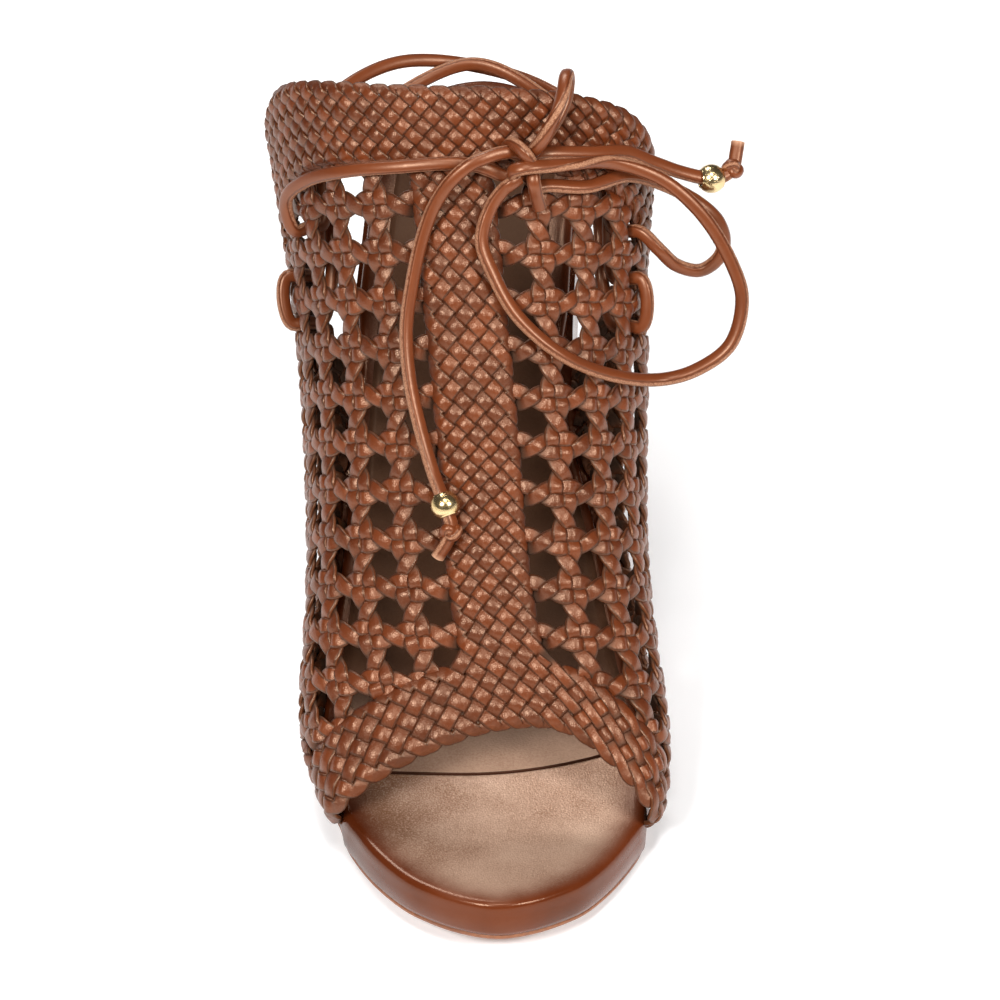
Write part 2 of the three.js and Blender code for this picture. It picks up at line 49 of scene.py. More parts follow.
last_origin = np.array([-3.7571, 101.22, 0.0])
outsole_thick = 3.0
sole_edge = 1.3
glue_line = 0.3
platform_thick = 4.5
toe_spring = 6.0
tread_start = 45.0
arch_rise = 3.0
arch_span = (90, 120, 120, 148)
heel_lean = 8.0
heel_taper = 0.1
heel_height = 90.0
rib_spacing = 2.4
ribs_across = 8
flat_inset = 3.0
toe_span = (0, 12, 30, 40)
toe_middle = 5.0
toe_fuller = {"lateral": 1.3, "medial": 2.0}
tip_roundings = 5
toe_tip = 7.0
heel_tip = 198.0
sole_plan = {
    "y": [-0.6, 0, 2.5, 9, 21, 38, 58, 80, 105, 135, 160, 181, 194, 200.7, 203, 203.5],
    "lateral": [5.2, 2.5, -4.5, -12.8, -22.5, -30.8, -38, -38, -35, -32, -28.9, -26,
                -20, -11.8, -4.6, -0.5],
    "medial": [5.2, 8, 14.5, 22, 30.7, 38, 40.5, 37.4, 31.5, 21.8, 21.8, 23,
               18.4, 10.6, 3.5, -0.5],
}
feather_rows = {
    "y": [45, 65, 85, 110, 140, 162, 182, 206],
    "z": [7.8, 7.8, 11.5, 27, 54.5, 71.5, 80.5, 87],
}
edge_profile = {
    "inset": [flat_inset, 1.3, 1.2, 0.35, 0.1, 0.1, 0.45, 1.5],
    "up": [outsole_thick, outsole_thick, sole_edge, sole_edge, sole_edge - 0.2, 0.45, 0, 0],
}


def row_frame(points):
    return (np.asarray(points, float) - last_origin) / 1000


def through(table, driver, column, at):
    """A smooth curve through a table's rows: the column's value at given values of the driver."""
    known = np.asarray(table[driver], float)
    value = np.asarray(table[column], float)
    rows = np.arange(len(known))
    before = np.maximum(rows - 1, 0)
    after = np.minimum(rows + 1, len(known) - 1)
    slope = (value[after] - value[before]) / (known[after] - known[before])
    at = np.asarray(at, float)
    k = np.clip(np.searchsorted(known, at, side="right") - 1, 0, len(known) - 2)
    span = known[k + 1] - known[k]
    f = (at - known[k]) / span
    g = 1 - f
    return (g * g * (1 + 2 * f) * value[k] + f * f * (1 + 2 * g) * value[k + 1]
            + f * g * span * (g * slope[k] - f * slope[k + 1]))


def way_along(line):
    """The distance along a line, or along each of many lines, to each of its points."""
    steps = np.linalg.norm(np.diff(line, axis=-2), axis=-1)
    return np.concatenate([np.zeros_like(steps[..., :1]), np.cumsum(steps, -1)], -1)


def smooth_route(points, spacing):
    """A smooth curve through points, returned as points a given distance apart."""
    points = np.asarray(points, float)
    ends = np.vstack([2 * points[0] - points[1], points, 2 * points[-1] - points[-2]])
    per_span = 24
    drawn = []
    for four in zip(ends[:-3], ends[1:-2], ends[2:-1], ends[3:]):
        pairs = list(zip(four[:-1], four[1:]))
        knot = np.cumsum([0] + [np.linalg.norm(q - p) ** 0.5 for p, q in pairs])
        t = np.linspace(knot[1], knot[2], per_span)[:, None]
        low = [p + (q - p) * (t - knot[i]) / (knot[i + 1] - knot[i])
               for i, (p, q) in enumerate(pairs)]
        mid = [low[i] + (low[i + 1] - low[i]) * (t - knot[i]) / (knot[i + 2] - knot[i])
               for i in (0, 1)]
        span = mid[0] + (mid[1] - mid[0]) * (t - knot[1]) / (knot[2] - knot[1])
        drawn.append(span[:-1])
    line = np.vstack([*drawn, points[-1:]])
    way = way_along(line)
    stations = np.linspace(0, way[-1], max(2, round(way[-1] / spacing) + 1))
    return np.stack([np.interp(stations, way, line[:, axis]) for axis in range(3)], 1)


def smooth_step(start, end, at):
    share = np.clip((np.asarray(at, float) - start) / (end - start), 0, 1)
    return share * share * (3 - 2 * share)


def swell(start, full, fade, end, at):
    """Rises from 0 at start to 1 at full, and falls from 1 at fade to 0 at end."""
    return smooth_step(start, full, at) * (1 - smooth_step(fade, end, at))


def unit(vectors):
    return vectors / np.linalg.norm(vectors, axis=-1, keepdims=True)


def sole_edges(y):
    return through(sole_plan, "y", "lateral", y), through(sole_plan, "y", "medial", y)


def floor_line(y):
    rise = np.maximum(0, (tread_start - y) / tread_start)
    return toe_spring * rise ** 2 + arch_rise * swell(*arch_span, y)


def feather_line(y):
    platform = floor_line(y) + outsole_thick + glue_line + platform_thick
    wedge_top = through(feather_rows, "y", "z", np.maximum(y, tread_start))
    return np.where(y <= tread_start, platform, wedge_top)


def wedge_foot(loop, share=1.0):
    """The wedge leans in and narrows on its way down: share 0 at its top, 1 at the floor."""
    x, y = loop.T
    down = share * np.maximum(0, feather_line(y) - outsole_thick - platform_thick) / heel_height
    return np.stack([x * (1 - heel_taper * down), y - heel_lean * down], 1)


def sole_outline():
    """The plan as one closed loop: down the lateral edge and up the medial edge, ribs paired.

    The toe is drawn out a little on both sides, and both tips are rounded."""
    plan = np.stack([sole_plan[name] for name in ("lateral", "y", "medial")], 1)
    ribs = smooth_route(plan, rib_spacing)
    loop = np.vstack([ribs[:, [0, 1]], ribs[-2:0:-1, [2, 1]]])
    x, y = loop.T
    fuller = np.where(x < toe_middle, toe_fuller["lateral"], toe_fuller["medial"])
    loop = inset_loop(loop, -swell(*toe_span, y) * fuller)
    for _ in range(tip_roundings):
        between = (np.roll(loop, 1, 0) + np.roll(loop, -1, 0)) / 2
        tips = (loop[:, 1] < toe_tip) | (loop[:, 1] > heel_tip)
        loop = np.where(tips[:, None], (loop + between) / 2, loop)
    return loop


def inset_loop(loop, inset):
    """The loop drawn in square to its own edge, by one distance or by one for each point."""
    along = unit(np.roll(loop, -1, 0) - np.roll(loop, 1, 0))
    inwards = np.stack([along[:, 1], -along[:, 0]], 1)
    return loop + inwards * np.broadcast_to(inset, len(loop))[:, None]


def ring_at(loop, z):
    return np.column_stack([loop, np.broadcast_to(z, len(loop))])


def quads(grid):
    """The faces between neighbours in a grid of vertex numbers, less any corners that fall together."""
    corners = np.stack([grid[:-1, :-1], grid[:-1, 1:], grid[1:, 1:], grid[1:, :-1]], -1)
    faces = [list(dict.fromkeys(face)) for face in corners.reshape(-1, 4).tolist()]
    return [face for face in faces if len(face) > 2]


def plate(name, rings, across, top=None):
    """A closed skin over rings round the sole, from its top to its bottom, with ribs across both ends."""
    count = len(rings[0])
    half = count // 2
    points = list(rings)
    total = count * len(rings)
    wall = np.arange(total).reshape(len(rings), count)
    faces = quads(np.column_stack([wall, wall[:, 0]]))
    share = np.linspace(0, 1, across + 1)[1:-1, None]
    for end, shape in ((0, top), (-1, None)):
        ring = rings[end]
        grid = np.zeros((half + 1, across + 1), int)
        for i in range(half + 1):
            other = (count - i) % count
            grid[i, :] = wall[end, i]
            grid[i, -1] = wall[end, other]
            if other == i:
                continue
            row = ring[i] + (ring[other] - ring[i]) * share
            if shape is not None:
                row[:, 2] = shape(row[:, 0], row[:, 1])
            grid[i, 1:-1] = total + np.arange(across - 1)
            total += across - 1
            points.append(row)
        closing = quads(grid)
        faces += [face[::-1] for face in closing] if end else closing
    return skin(name, np.vstack(points), faces)


def skin(name, points, faces, **fields):
    """A mesh over points of the last, with a value at each point for each named field."""
    mesh = bpy.data.meshes.new(name)
    mesh.from_pydata(row_frame(points).tolist(), [], faces)
    for field, values in fields.items():
        mesh.attributes.new(field, "FLOAT", "POINT").data.foreach_set("value", values)
    return placed(name, mesh)


def placed(name, mesh):
    """A finished mesh as an object of the scene: faces outwards and smooth."""
    mesh.validate()
    mesh.calc_loop_triangles()
    place = np.array([v.co for v in mesh.vertices])
    corner = np.array([t.vertices[:] for t in mesh.loop_triangles])
    a, b, c = place[corner[:, 0]], place[corner[:, 1]], place[corner[:, 2]]
    if (a * np.cross(b, c)).sum() < 0:
        mesh.flip_normals()
    mesh.polygons.foreach_set("use_smooth", np.ones(len(mesh.polygons), bool))
    made = bpy.data.objects.new(name, mesh)
    bpy.context.collection.objects.link(made)
    return made


class Wire:
    """One socket in a node tree. Arithmetic on values adds Math nodes, and node() adds any other."""

    def __init__(self, tree, socket=None):
        self.tree = tree
        self.socket = socket

    def node(self, kind, settings=(), inputs=(), output=0):
        made = self.tree.nodes.new(kind)
        for name, value in dict(settings).items():
            setattr(made, name, value)
        for key, value in dict(inputs).items():
            if isinstance(value, Wire):
                self.tree.links.new(value.socket, made.inputs[key])
            else:
                made.inputs[key].default_value = value
        return Wire(self.tree, made.outputs[output] if len(made.outputs) else None)

    def out(self, name):
        return Wire(self.tree, self.socket.node.outputs[name])

    def maths(self, operation, *values):
        return self.node("ShaderNodeMath", {"operation": operation}, enumerate(values))

    def __add__(self, other):
        return self.maths("ADD", self, other)

    def __sub__(self, other):
        return self.maths("SUBTRACT", self, other)

    def __rsub__(self, other):
        return self.maths("SUBTRACT", other, self)

    def __mul__(self, other):
        return self.maths("MULTIPLY", self, other)

    def __pow__(self, other):
        return self.maths("POWER", self, other)

    __radd__ = __add__
    __rmul__ = __mul__

    def clamp(self):
        return self.node("ShaderNodeClamp", (), {0: self})

    def smooth(self, low, high):
        settings = {"interpolation_type": "SMOOTHSTEP"}
        return self.node("ShaderNodeMapRange", settings, {0: self, 1: low, 2: high, 3: 0.0, 4: 1.0})

    def blend(self, first, second):
        """A colour from first to second as this value goes from 0 to 1."""
        colours = {0: self, 6: colour_of(first), 7: colour_of(second)}
        return self.node("ShaderNodeMix", {"data_type": "RGBA"}, colours, 2)

    def noise(self, scale, detail=3.0, roughness=0.55):
        inputs = {"Vector": self, "Scale": scale, "Detail": detail, "Roughness": roughness}
        return self.node("ShaderNodeTexNoise", (), inputs)

    def pores(self, scale, width):
        """The grain of leather: 0 in the creases between its cells, 1 on the cells."""
        cells = {"Vector": self, "Scale": scale}
        crease = self.node("ShaderNodeTexVoronoi", {"feature": "DISTANCE_TO_EDGE"}, cells)
        return crease.smooth(0.0, width)

    def attribute(self, name):
        return self.node("ShaderNodeAttribute", {"attribute_name": name}, (), 2)


def colour_of(value):
    """An sRGB colour given as three numbers to 255, as a linear one; a wire is left as it is."""
    if isinstance(value, Wire):
        return value
    linear = [((c / 255 + 0.055) / 1.055) ** 2.4 if c > 10 else c / 3294.6 for c in value]
    return (*linear, 1.0)


def new_material(name):
    """An empty material, and a wire of its Object coordinates."""
    material = bpy.data.materials.new(name)
    material.use_nodes = True
    material.node_tree.nodes.clear()
    return material, Wire(material.node_tree).node("ShaderNodeTexCoord", (), (), 3)


def surfaced(material, inputs, bump=None, depth=0.0):
    """Ends a material in one shader; a bump of 1 stands depth metres above one of 0."""
    wire = Wire(material.node_tree)
    if bump is not None:
        heights = {"Height": bump, "Strength": 1.0, "Distance": depth}
        inputs["Normal"] = wire.node("ShaderNodeBump", (), heights)
    shader = wire.node("ShaderNodeBsdfPrincipled", (), inputs)
    wire.node("ShaderNodeOutputMaterial", (), {"Surface": shader})
    return material


def sole_leather():
    material, place = new_material("sole_leather")
    cloud = place.noise(60.0, 4.0)
    fibre = place.noise(900.0, 3.0)
    colour = (cloud * 0.6 + fibre * 0.4).smooth(0.3, 0.7).blend((112, 62, 34), (150, 94, 58))
    rough = 0.4 + 0.2 * fibre
    return surfaced(material, {"Base Color": colour, "Roughness": rough}, fibre, 0.00008)


outline = sole_outline()
plan_y = outline[:, 1]
sole_floor = floor_line(plan_y)
foot = wedge_foot(outline)
edge_rings = [ring_at(inset_loop(foot, inset), sole_floor + up)
              for inset, up in zip(*edge_profile.values())]
outsole = plate("outsole_leather", edge_rings, ribs_across)
outsole.data.materials.append(sole_leather())
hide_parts("outsole")
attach(outsole, "root")


# Wedge: a cork wedge with a thin platform under the toes, wrapped in smooth brown calf.
# The cover is drawn tight over both edges, hides most of the outsole's edge and swells a little between.
# In front of the upper the insole's own cover is drawn down over it instead.

wedge_edge = 0.12
wedge_swell = 0.35
wedge_levels = 16
cover_lap = 0.12
cover_curl = 0.3
skirt_thick = 0.65
skirt_back = (30, 36)
calf_tones = ((68, 27, 9), (92, 39, 14))
calf_gloss = 0.42


def dressed(material, colour, rough, gloss, relief, depth, metallic=0.0):
    """Ends a leather in one shader, with warm highlights."""
    return surfaced(material, {
        "Base Color": colour, "Roughness": rough, "Metallic": metallic, "Specular IOR Level": gloss,
        "Specular Tint": colour_of((255, 214, 182)),
    }, relief, depth)


def wrapped_calf():
    material, place = new_material("wedge_calf")
    cloud = place.noise(35.0, 4.0)
    grain = place.noise(1500.0, 2.0)
    colour = cloud.smooth(0.3, 0.72).blend(*calf_tones)
    rough = 0.15 + 0.1 * cloud
    relief = 0.6 * place.pores(1100.0, 0.25) + 0.4 * grain
    return dressed(material, colour, rough, calf_gloss, relief, 0.00003)


skirt = 1 - smooth_step(*skirt_back, plan_y)
core = inset_loop(outline, skirt_thick * skirt)
core_foot = wedge_foot(core)
wedge_top = feather_line(plan_y) - glue_line
wedge_floor = sole_floor + outsole_thick + glue_line
cover_end = sole_floor + sole_edge + cover_lap
lowest = cover_end + cover_curl
highest = wedge_top - wedge_edge
wedge_rings = [
    ring_at(inset_loop(core, flat_inset), wedge_top),
    ring_at(inset_loop(core, wedge_edge), wedge_top),
    ring_at(inset_loop(core, 0.3 * wedge_edge), wedge_top - 0.3 * wedge_edge),
]
for level in np.linspace(0, 1, wedge_levels):
    swollen = inset_loop(wedge_foot(core, level), -wedge_swell * math.sin(math.pi * level))
    wedge_rings.append(ring_at(swollen, highest + (lowest - highest) * level))
wedge_rings += [ring_at(inset_loop(core_foot, inset), cover_end) for inset in (cover_curl, 0.5)]
wedge_rings += [ring_at(inset_loop(core_foot, inset), wedge_floor) for inset in (0.55, flat_inset)]
wedge = plate("wedge_cover", wedge_rings, ribs_across)
wedge.data.materials.append(wrapped_calf())
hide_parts("wedge_platform")
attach(wedge, "root")


# Insole: a padded footbed wrapped in the same calf, rolled over the rim and down the platform's front.
# Its top turns from brown to a satin taupe, partly worn and partly a painted sheen, and it lies dished
# between the sides of the upper.

insole_thick = 2.95
insole_glue = 0.26
insole_dish = 1.0
insole_ribs = 20
upper_tuck = 1.0
upper_start = (50, 60)
upper_meet = 0.55
meet_span = (27, 32, 46, 60)
side_tuck = 1.8
side_span = (45, 70, 137, 150)
dish_start = (2, 26)
least_width = 8
skirt_levels = np.linspace(0.15, 0.95, 6)
skirt_lift = 0.06
rim_width = (2.0, 4.4)
rim_profile = {
    "inset": [0.0, 0.1, 0.3, 0.62, 1.1, 1.7, 2.4, 3.3, 4.4],
    "up": [-0.2, 0.9, 1.6, 2.2, 2.6, 2.85, 2.95, 2.9, 2.8],
}


def insole_inset(y):
    """How far the insole stays inside the sole's outline; at the start of the upper it is drawn out."""
    return (upper_tuck * smooth_step(*upper_start, y) + side_tuck * swell(*side_span, y)
            - upper_meet * swell(*meet_span, y))


def footbed(x, y):
    """The height of the footbed's top, dished between the edges of the sole."""
    lateral, medial = sole_edges(y)
    share = (2 * x - lateral - medial) / np.maximum(least_width, medial - lateral)
    dish = insole_dish * smooth_step(*dish_start, y) * (1 - np.clip(share, -1, 1) ** 2)
    return feather_line(y) + insole_thick - dish


def footbed_calf():
    material, place = new_material("footbed_calf")
    edge = place.attribute("from_rim")
    cloud = place.noise(34.0, 4.0)
    speckle = place.noise(2600.0, 2.0)
    # Painted sheen and wear: brown at the rim turns to a pale taupe inwards, partly worn leather and partly
    # painted reflection of light on the flat top.
    worn_and_sheen = (edge + cloud * 5.0).smooth(3.5, 13.0)
    taupe = (cloud * 0.7 + speckle * 0.3).smooth(0.33, 0.67).blend((122, 84, 61), (186, 154, 132))
    taupe = (0.3 * speckle.smooth(0.45, 0.75)).blend(taupe, (206, 174, 150))
    colour = worn_and_sheen.blend(cloud.smooth(0.3, 0.72).blend(*calf_tones), taupe)
    rough = 0.16 + 0.1 * cloud + worn_and_sheen * 0.15
    relief = (0.3 + 0.7 * worn_and_sheen) * (0.5 * place.pores(1500.0, 0.25) + 0.5 * speckle)
    return dressed(material, colour, rough, calf_gloss, relief, 0.00004, worn_and_sheen * 0.45)


insole_edge = inset_loop(outline, insole_inset(plan_y))
rim_rings = []
for inset, up in reversed(list(zip(*rim_profile.values()))):
    loop = inset_loop(insole_edge, inset)
    inner = smooth_step(*rim_width, inset)
    height = (1 - inner) * (feather_line(loop[:, 1]) + up) + inner * footbed(loop[:, 0], loop[:, 1])
    rim_rings.append(ring_at(loop, height))
insole_floor = feather_line(plan_y) - insole_glue
skirt_end = insole_floor + (cover_end - insole_floor) * skirt
for level in skirt_levels:
    swollen = -wedge_swell * math.sin(math.pi * level) * skirt
    loop = inset_loop(wedge_foot(insole_edge, level * skirt), swollen)
    rim_rings.append(ring_at(loop, insole_floor + skirt_lift + (skirt_end - insole_floor) * level))
skirt_foot = wedge_foot(insole_edge, skirt)
rim_rings += [ring_at(inset_loop(skirt_foot, inset), skirt_end) for inset in (0.25, 0.5)]
rim_rings += [ring_at(inset_loop(insole_edge, inset), insole_floor) for inset in (0.55, flat_inset)]
insole = plate("insole_footbed", rim_rings, insole_ribs, footbed)
insole_place = np.array([v.co for v in insole.data.vertices]) * 1000 + last_origin
from_rim = [np.linalg.norm(insole_edge - place[:2], axis=1).min() for place in insole_place]
insole.data.attributes.new("from_rim", "FLOAT", "POINT").data.foreach_set("value", from_rim)
insole.data.materials.append(footbed_calf())
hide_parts("insole")
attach(insole, "root")


# Sock: a thin lining of the same satin calf, glued on the footbed from the ball of the foot to the heel.
# Its cut front edge shows as a dark line across the footbed, curved back towards the big toe.
# Behind the ball, towards the heel, it is painted darker: painted shade where the upper keeps out the
# light.

sock_front = 46.6
sock_back = 196.5
sock_margin = 6.5
sock_thick = 0.55
sock_sunk = 0.6
sock_curve = 0.0055
curve_start = -5.0
cut_rows = (0, 0.002, 0.0035)
end_share = 0.2
side_edge_share = 0.4


def sock_calf():
    material, place = new_material("sock_calf")
    cut = place.attribute("cut_edge")
    cloud = place.noise(45.0, 4.0)
    speckle = place.noise(1900.0, 2.0)
    satin = (cloud * 0.6 + speckle * 0.4).smooth(0.32, 0.68).blend((138, 106, 86), (168, 136, 114))
    behind = place.node("ShaderNodeSeparateXYZ", (), {"Vector": place}, 1).smooth(-0.045, -0.02)
    # Painted shade: the satin darkens towards the heel, where the upper keeps out the light.
    satin = (0.9 * behind).blend(satin, (76, 44, 25))
    colour = cut.smooth(0.3, 0.7).blend(satin, (52, 26, 15))
    rough = 0.36 + 0.12 * speckle
    return dressed(material, colour, rough, 0.25, speckle, 0.00005, 0.25 - 0.25 * behind)


def sock_lining():
    across = np.linspace(-1, 1, 25)
    rows = []
    for t in (*cut_rows, *np.linspace(0.012, 1, 90)):
        y = sock_front + (sock_back - sock_front) * t
        lateral, medial = sole_edges(y)
        x = (lateral + medial) / 2 + across * ((medial - lateral) / 2 - sock_margin)
        back = sock_curve * np.maximum(0, x - curve_start) ** 2 * (1 - t)
        rows.append(np.stack([x, y + back], 1))
    plan = np.array(rows)
    bed = footbed(plan[..., 0], plan[..., 1])
    edge = np.ones(bed.shape)
    edge[[0, -1], :] = end_share
    edge[:, [0, -1]] = side_edge_share
    heights = (bed + sock_thick * edge, bed - sock_sunk)
    sheets = [np.dstack([plan, height]).reshape(-1, 3) for height in heights]
    top = np.arange(bed.size).reshape(bed.shape)
    rim = np.array([*top[0, :], *top[1:, -1], *top[-1, -2::-1], *top[-2::-1, 0]])
    hidden = quads(top + bed.size) + quads(np.stack([rim, rim + bed.size]))
    faces = quads(top) + [face[::-1] for face in hidden]
    cut = np.zeros(bed.shape)
    cut[:2, :] = 1
    return skin("sock_lining", np.vstack(sheets), faces, cut_edge=np.tile(cut.ravel(), 2))


sock = sock_lining()
sock.data.materials.append(sock_calf())
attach(sock, "root")


# Woven upper: one shell plaited by hand over the last from 3 to 4 mm strips of glazed brown leather.
# Toe, instep and collar are one close diagonal plait. Paired strips make an open lattice on both sides
# and cross once between the squares. A narrow plait runs along the sole, where all ends are lasted in.

lateral_side = -1
medial_side = 1
ridge_length = 148.0
curve_steps = 60
upper_inset = 0.7
upper_lap = 2.5
upper_drop = 2.6
lap_end = (35, 70)
upper_hug = 0.4
hug_end = (33, 39)
side_share = 0.6
side_up = 0.3
upper_sections = {
    "at": [0, 0.2, 0.5, 0.75, 1],
    "ridge_x": [14, 6.1, 0.5, -5, -10.5],
    "ridge_y": [43.2, 63.3, 89, 112.8, 134.8],
    "ridge_z": [27.8, 51, 80.7, 110.3, 140],
    "shoulder": [0.53, 0.45, 0.73, 0.94, 1.23],
    "bulge": [6.5, 6.7, 5.2, 12, 22.5],
    "corner_y": [18, 54, 95.5, 139, 171],
    "corner_up": [0.59, 0.6, 0.65, 0.65, 0.7],
    "skew": [2, 1, 3, 9, 18],
    "base_y": [33, 57, 81, 105, 136],
    "lean": [-3, 0, 4, 9, 12],
}
strip_thick = 1.0
strip_corner = 0.45
strip_crown = 0.14
strip_rise = 0.6
weave_middle = -0.38
sample_length = 0.6
steps_per_crossing = 6
slack_range = (0.9, 1.08)
width_range = (0.95, 1.04)
fold_round = 0.7
fold_reach = 0.95
fold_power = 1.5
tuck_depth = 1.8

# The close plait's lattice: rows of crossings up the instep, columns of crossings round the foot
toe_rows = 6
instep_rows = 42
collar_rows = 8
collar_from = toe_rows + instep_rows
instep_columns = 8
half_columns = instep_columns / 2
band_reach = 64
toe_edge = 0.8
toe_row = 2.57
collar_edge = 147.4
collar_row = 2.24
instep_column = 2.35
toe_column = 3.1
collar_column = 2.15
column_change = (20, 120)
band_start = -3.3
band_shift = 4.1
band_change = (20, 125)
close_width = 3.45
close_spacing = 3.5
close_spread = (0.72, 1.15)
close_roll = 1.2
fold_narrowing = 0.1
close_sink = 0.55
close_room = 0.4
fold_level = 0.45

# The open lattice: rows of paired strips lie level across the slope of the instep, columns run up it
lattice_width = 3.5
pair_spacing = 3.1
climb_way = np.array([0.0, 0.65, 0.76])
first_row = 70.3
row_pitch = 10.75
row_numbers = np.arange(-6, 11)
first_column = 18.5
column_pitch = 10.9
column_numbers = np.arange(-1, 10)
table_reach = 126
table_height = 190
row_start = 7.5
change_over = (0.19, 0.81)
change_span = (0.2, 0.4, 0.6, 0.8)
change_lean = 0.55
under_width = 0.86
over_width = 1.02
lattice_span = (12.5, 134)
lattice_room = 1.0
band_tuck = (8, 12.5)
toe_tuck = (14.5, 18)
collar_tuck = (127.5, 131.5)
sole_tuck = (5, 10)

# The plait along the sole
base_width = 8.0
base_strands = 4
base_step = 2.35
base_strip = 2.9
base_span = (12.0, 136.0)
base_start = (14, 19)
base_end = (128, 132)
base_margin = 0.9
base_roll = 0.9
base_proud = 0.15


def section_handles(side, at):
    """The five handles of half a section, for arrays of sides (-1 lateral, 1 medial) and places."""
    row = {name: through(upper_sections, "at", name, at) for name in upper_sections if name != "at"}
    lateral, medial = sole_edges(row["base_y"])
    lapped = 1 - smooth_step(*lap_end, row["base_y"])
    hugged = 1 - smooth_step(*hug_end, row["base_y"])
    out = upper_lap * lapped - upper_hug * hugged - upper_inset
    base_x = np.where(side > 0, medial, lateral) + side * out
    base_z = feather_line(row["base_y"]) + glue_line - upper_drop * lapped
    height = row["ridge_z"] - base_z
    width = np.abs(base_x - row["ridge_x"]) + row["bulge"]
    shoulder_x = row["ridge_x"] + side * row["shoulder"] * width
    handles = [
        (row["ridge_x"], row["ridge_y"], row["ridge_z"]),
        (shoulder_x, row["ridge_y"], row["ridge_z"]),
        (base_x + side * row["bulge"], row["corner_y"] - side * row["skew"],
         base_z + row["corner_up"] * height),
        (base_x + side * side_share * row["bulge"], row["base_y"] + row["lean"],
         base_z + side_up * height),
        (base_x, row["base_y"], base_z),
    ]
    return np.stack([np.stack(handle, -1) for handle in handles], 1)


def handle_weights(f):
    g = 1 - f
    return np.stack([g ** 4, 4 * g ** 3 * f, 6 * g ** 2 * f ** 2, 4 * g * f ** 3, f ** 4], -1)


def side_of(u):
    return np.where(u < 0, lateral_side, medial_side)


def last_point(u, s):
    """Points of the last, u mm round from the ridge (medial positive) and s mm up from the toe edge.

    Each comes with the way round from the ridge to the sole at that height."""
    handles = section_handles(side_of(u), np.clip(s / ridge_length, 0, 1))
    shares = np.linspace(0, 1, curve_steps + 1)
    curve = np.einsum("fk,nkd->nfd", handle_weights(shares), handles)
    way = way_along(curve)
    reach = np.minimum(np.abs(u), way[:, -1])
    k = np.clip((way <= reach[:, None]).sum(1) - 1, 0, curve_steps - 1)
    n = np.arange(len(u))
    f = (k + (reach - way[n, k]) / (way[n, k + 1] - way[n, k])) / curve_steps
    return np.einsum("nk,nkd->nd", handle_weights(f), handles), way[:, -1]


def girth(side, s):
    return last_point(np.broadcast_to(side, s.shape), s)[1]


def last_frame(u, s):
    """Points of the last with their outward normal and the directions round and up the foot."""
    step = 0.5
    side = side_of(u)
    low = np.maximum(0, s - step)
    high = np.minimum(ridge_length, s + step)
    most = np.minimum(girth(side, low), girth(side, high)) - step
    v = side * np.minimum(np.abs(u), most)
    around = last_point(v + step, s)[0] - last_point(v - step, s)[0]
    upwards = last_point(v, high)[0] - last_point(v, low)[0]
    return last_point(u, s)[0], unit(np.cross(around, upwards)), unit(around), unit(upwards)


class Strips:
    """Strips of leather laid on the last, collected for one piece."""

    def __init__(self, seed):
        self.random = np.random.default_rng(seed)
        self.paths = []

    def lay(self, u, s, height, roll_u=0.0, roll_s=0.0, sink=0.0, full=1.0):
        """One strip: its way over the last, its height in the weave (-1 to 1), how far its face rolls
        over towards +u and +s, how far it is sunk at tucked ends, and its share of the full width."""
        if len(u) < 4:
            return
        place, normal, around, upwards = last_frame(u, s)
        slack = self.random.uniform(*slack_range)
        lift = weave_middle + strip_rise * slack * height - sink
        face = normal + around * np.broadcast_to(roll_u, u.shape)[:, None]
        face = face + upwards * np.broadcast_to(roll_s, u.shape)[:, None]
        self.paths.append({
            "points": row_frame(place + normal * lift[:, None]),
            "face_up": unit(face),
            "fullness": np.broadcast_to(full, u.shape) * self.random.uniform(*width_range),
            "tone": np.full(len(u), self.random.uniform()),
            "over": height,
        })

    def lay_kept(self, keep, *fields):
        """Lays the stretches of a strip where keep is true."""
        for part in np.split(np.arange(len(keep)), np.flatnonzero(np.diff(keep)) + 1):
            if keep[part[0]]:
                self.lay(*(field[part] for field in fields))


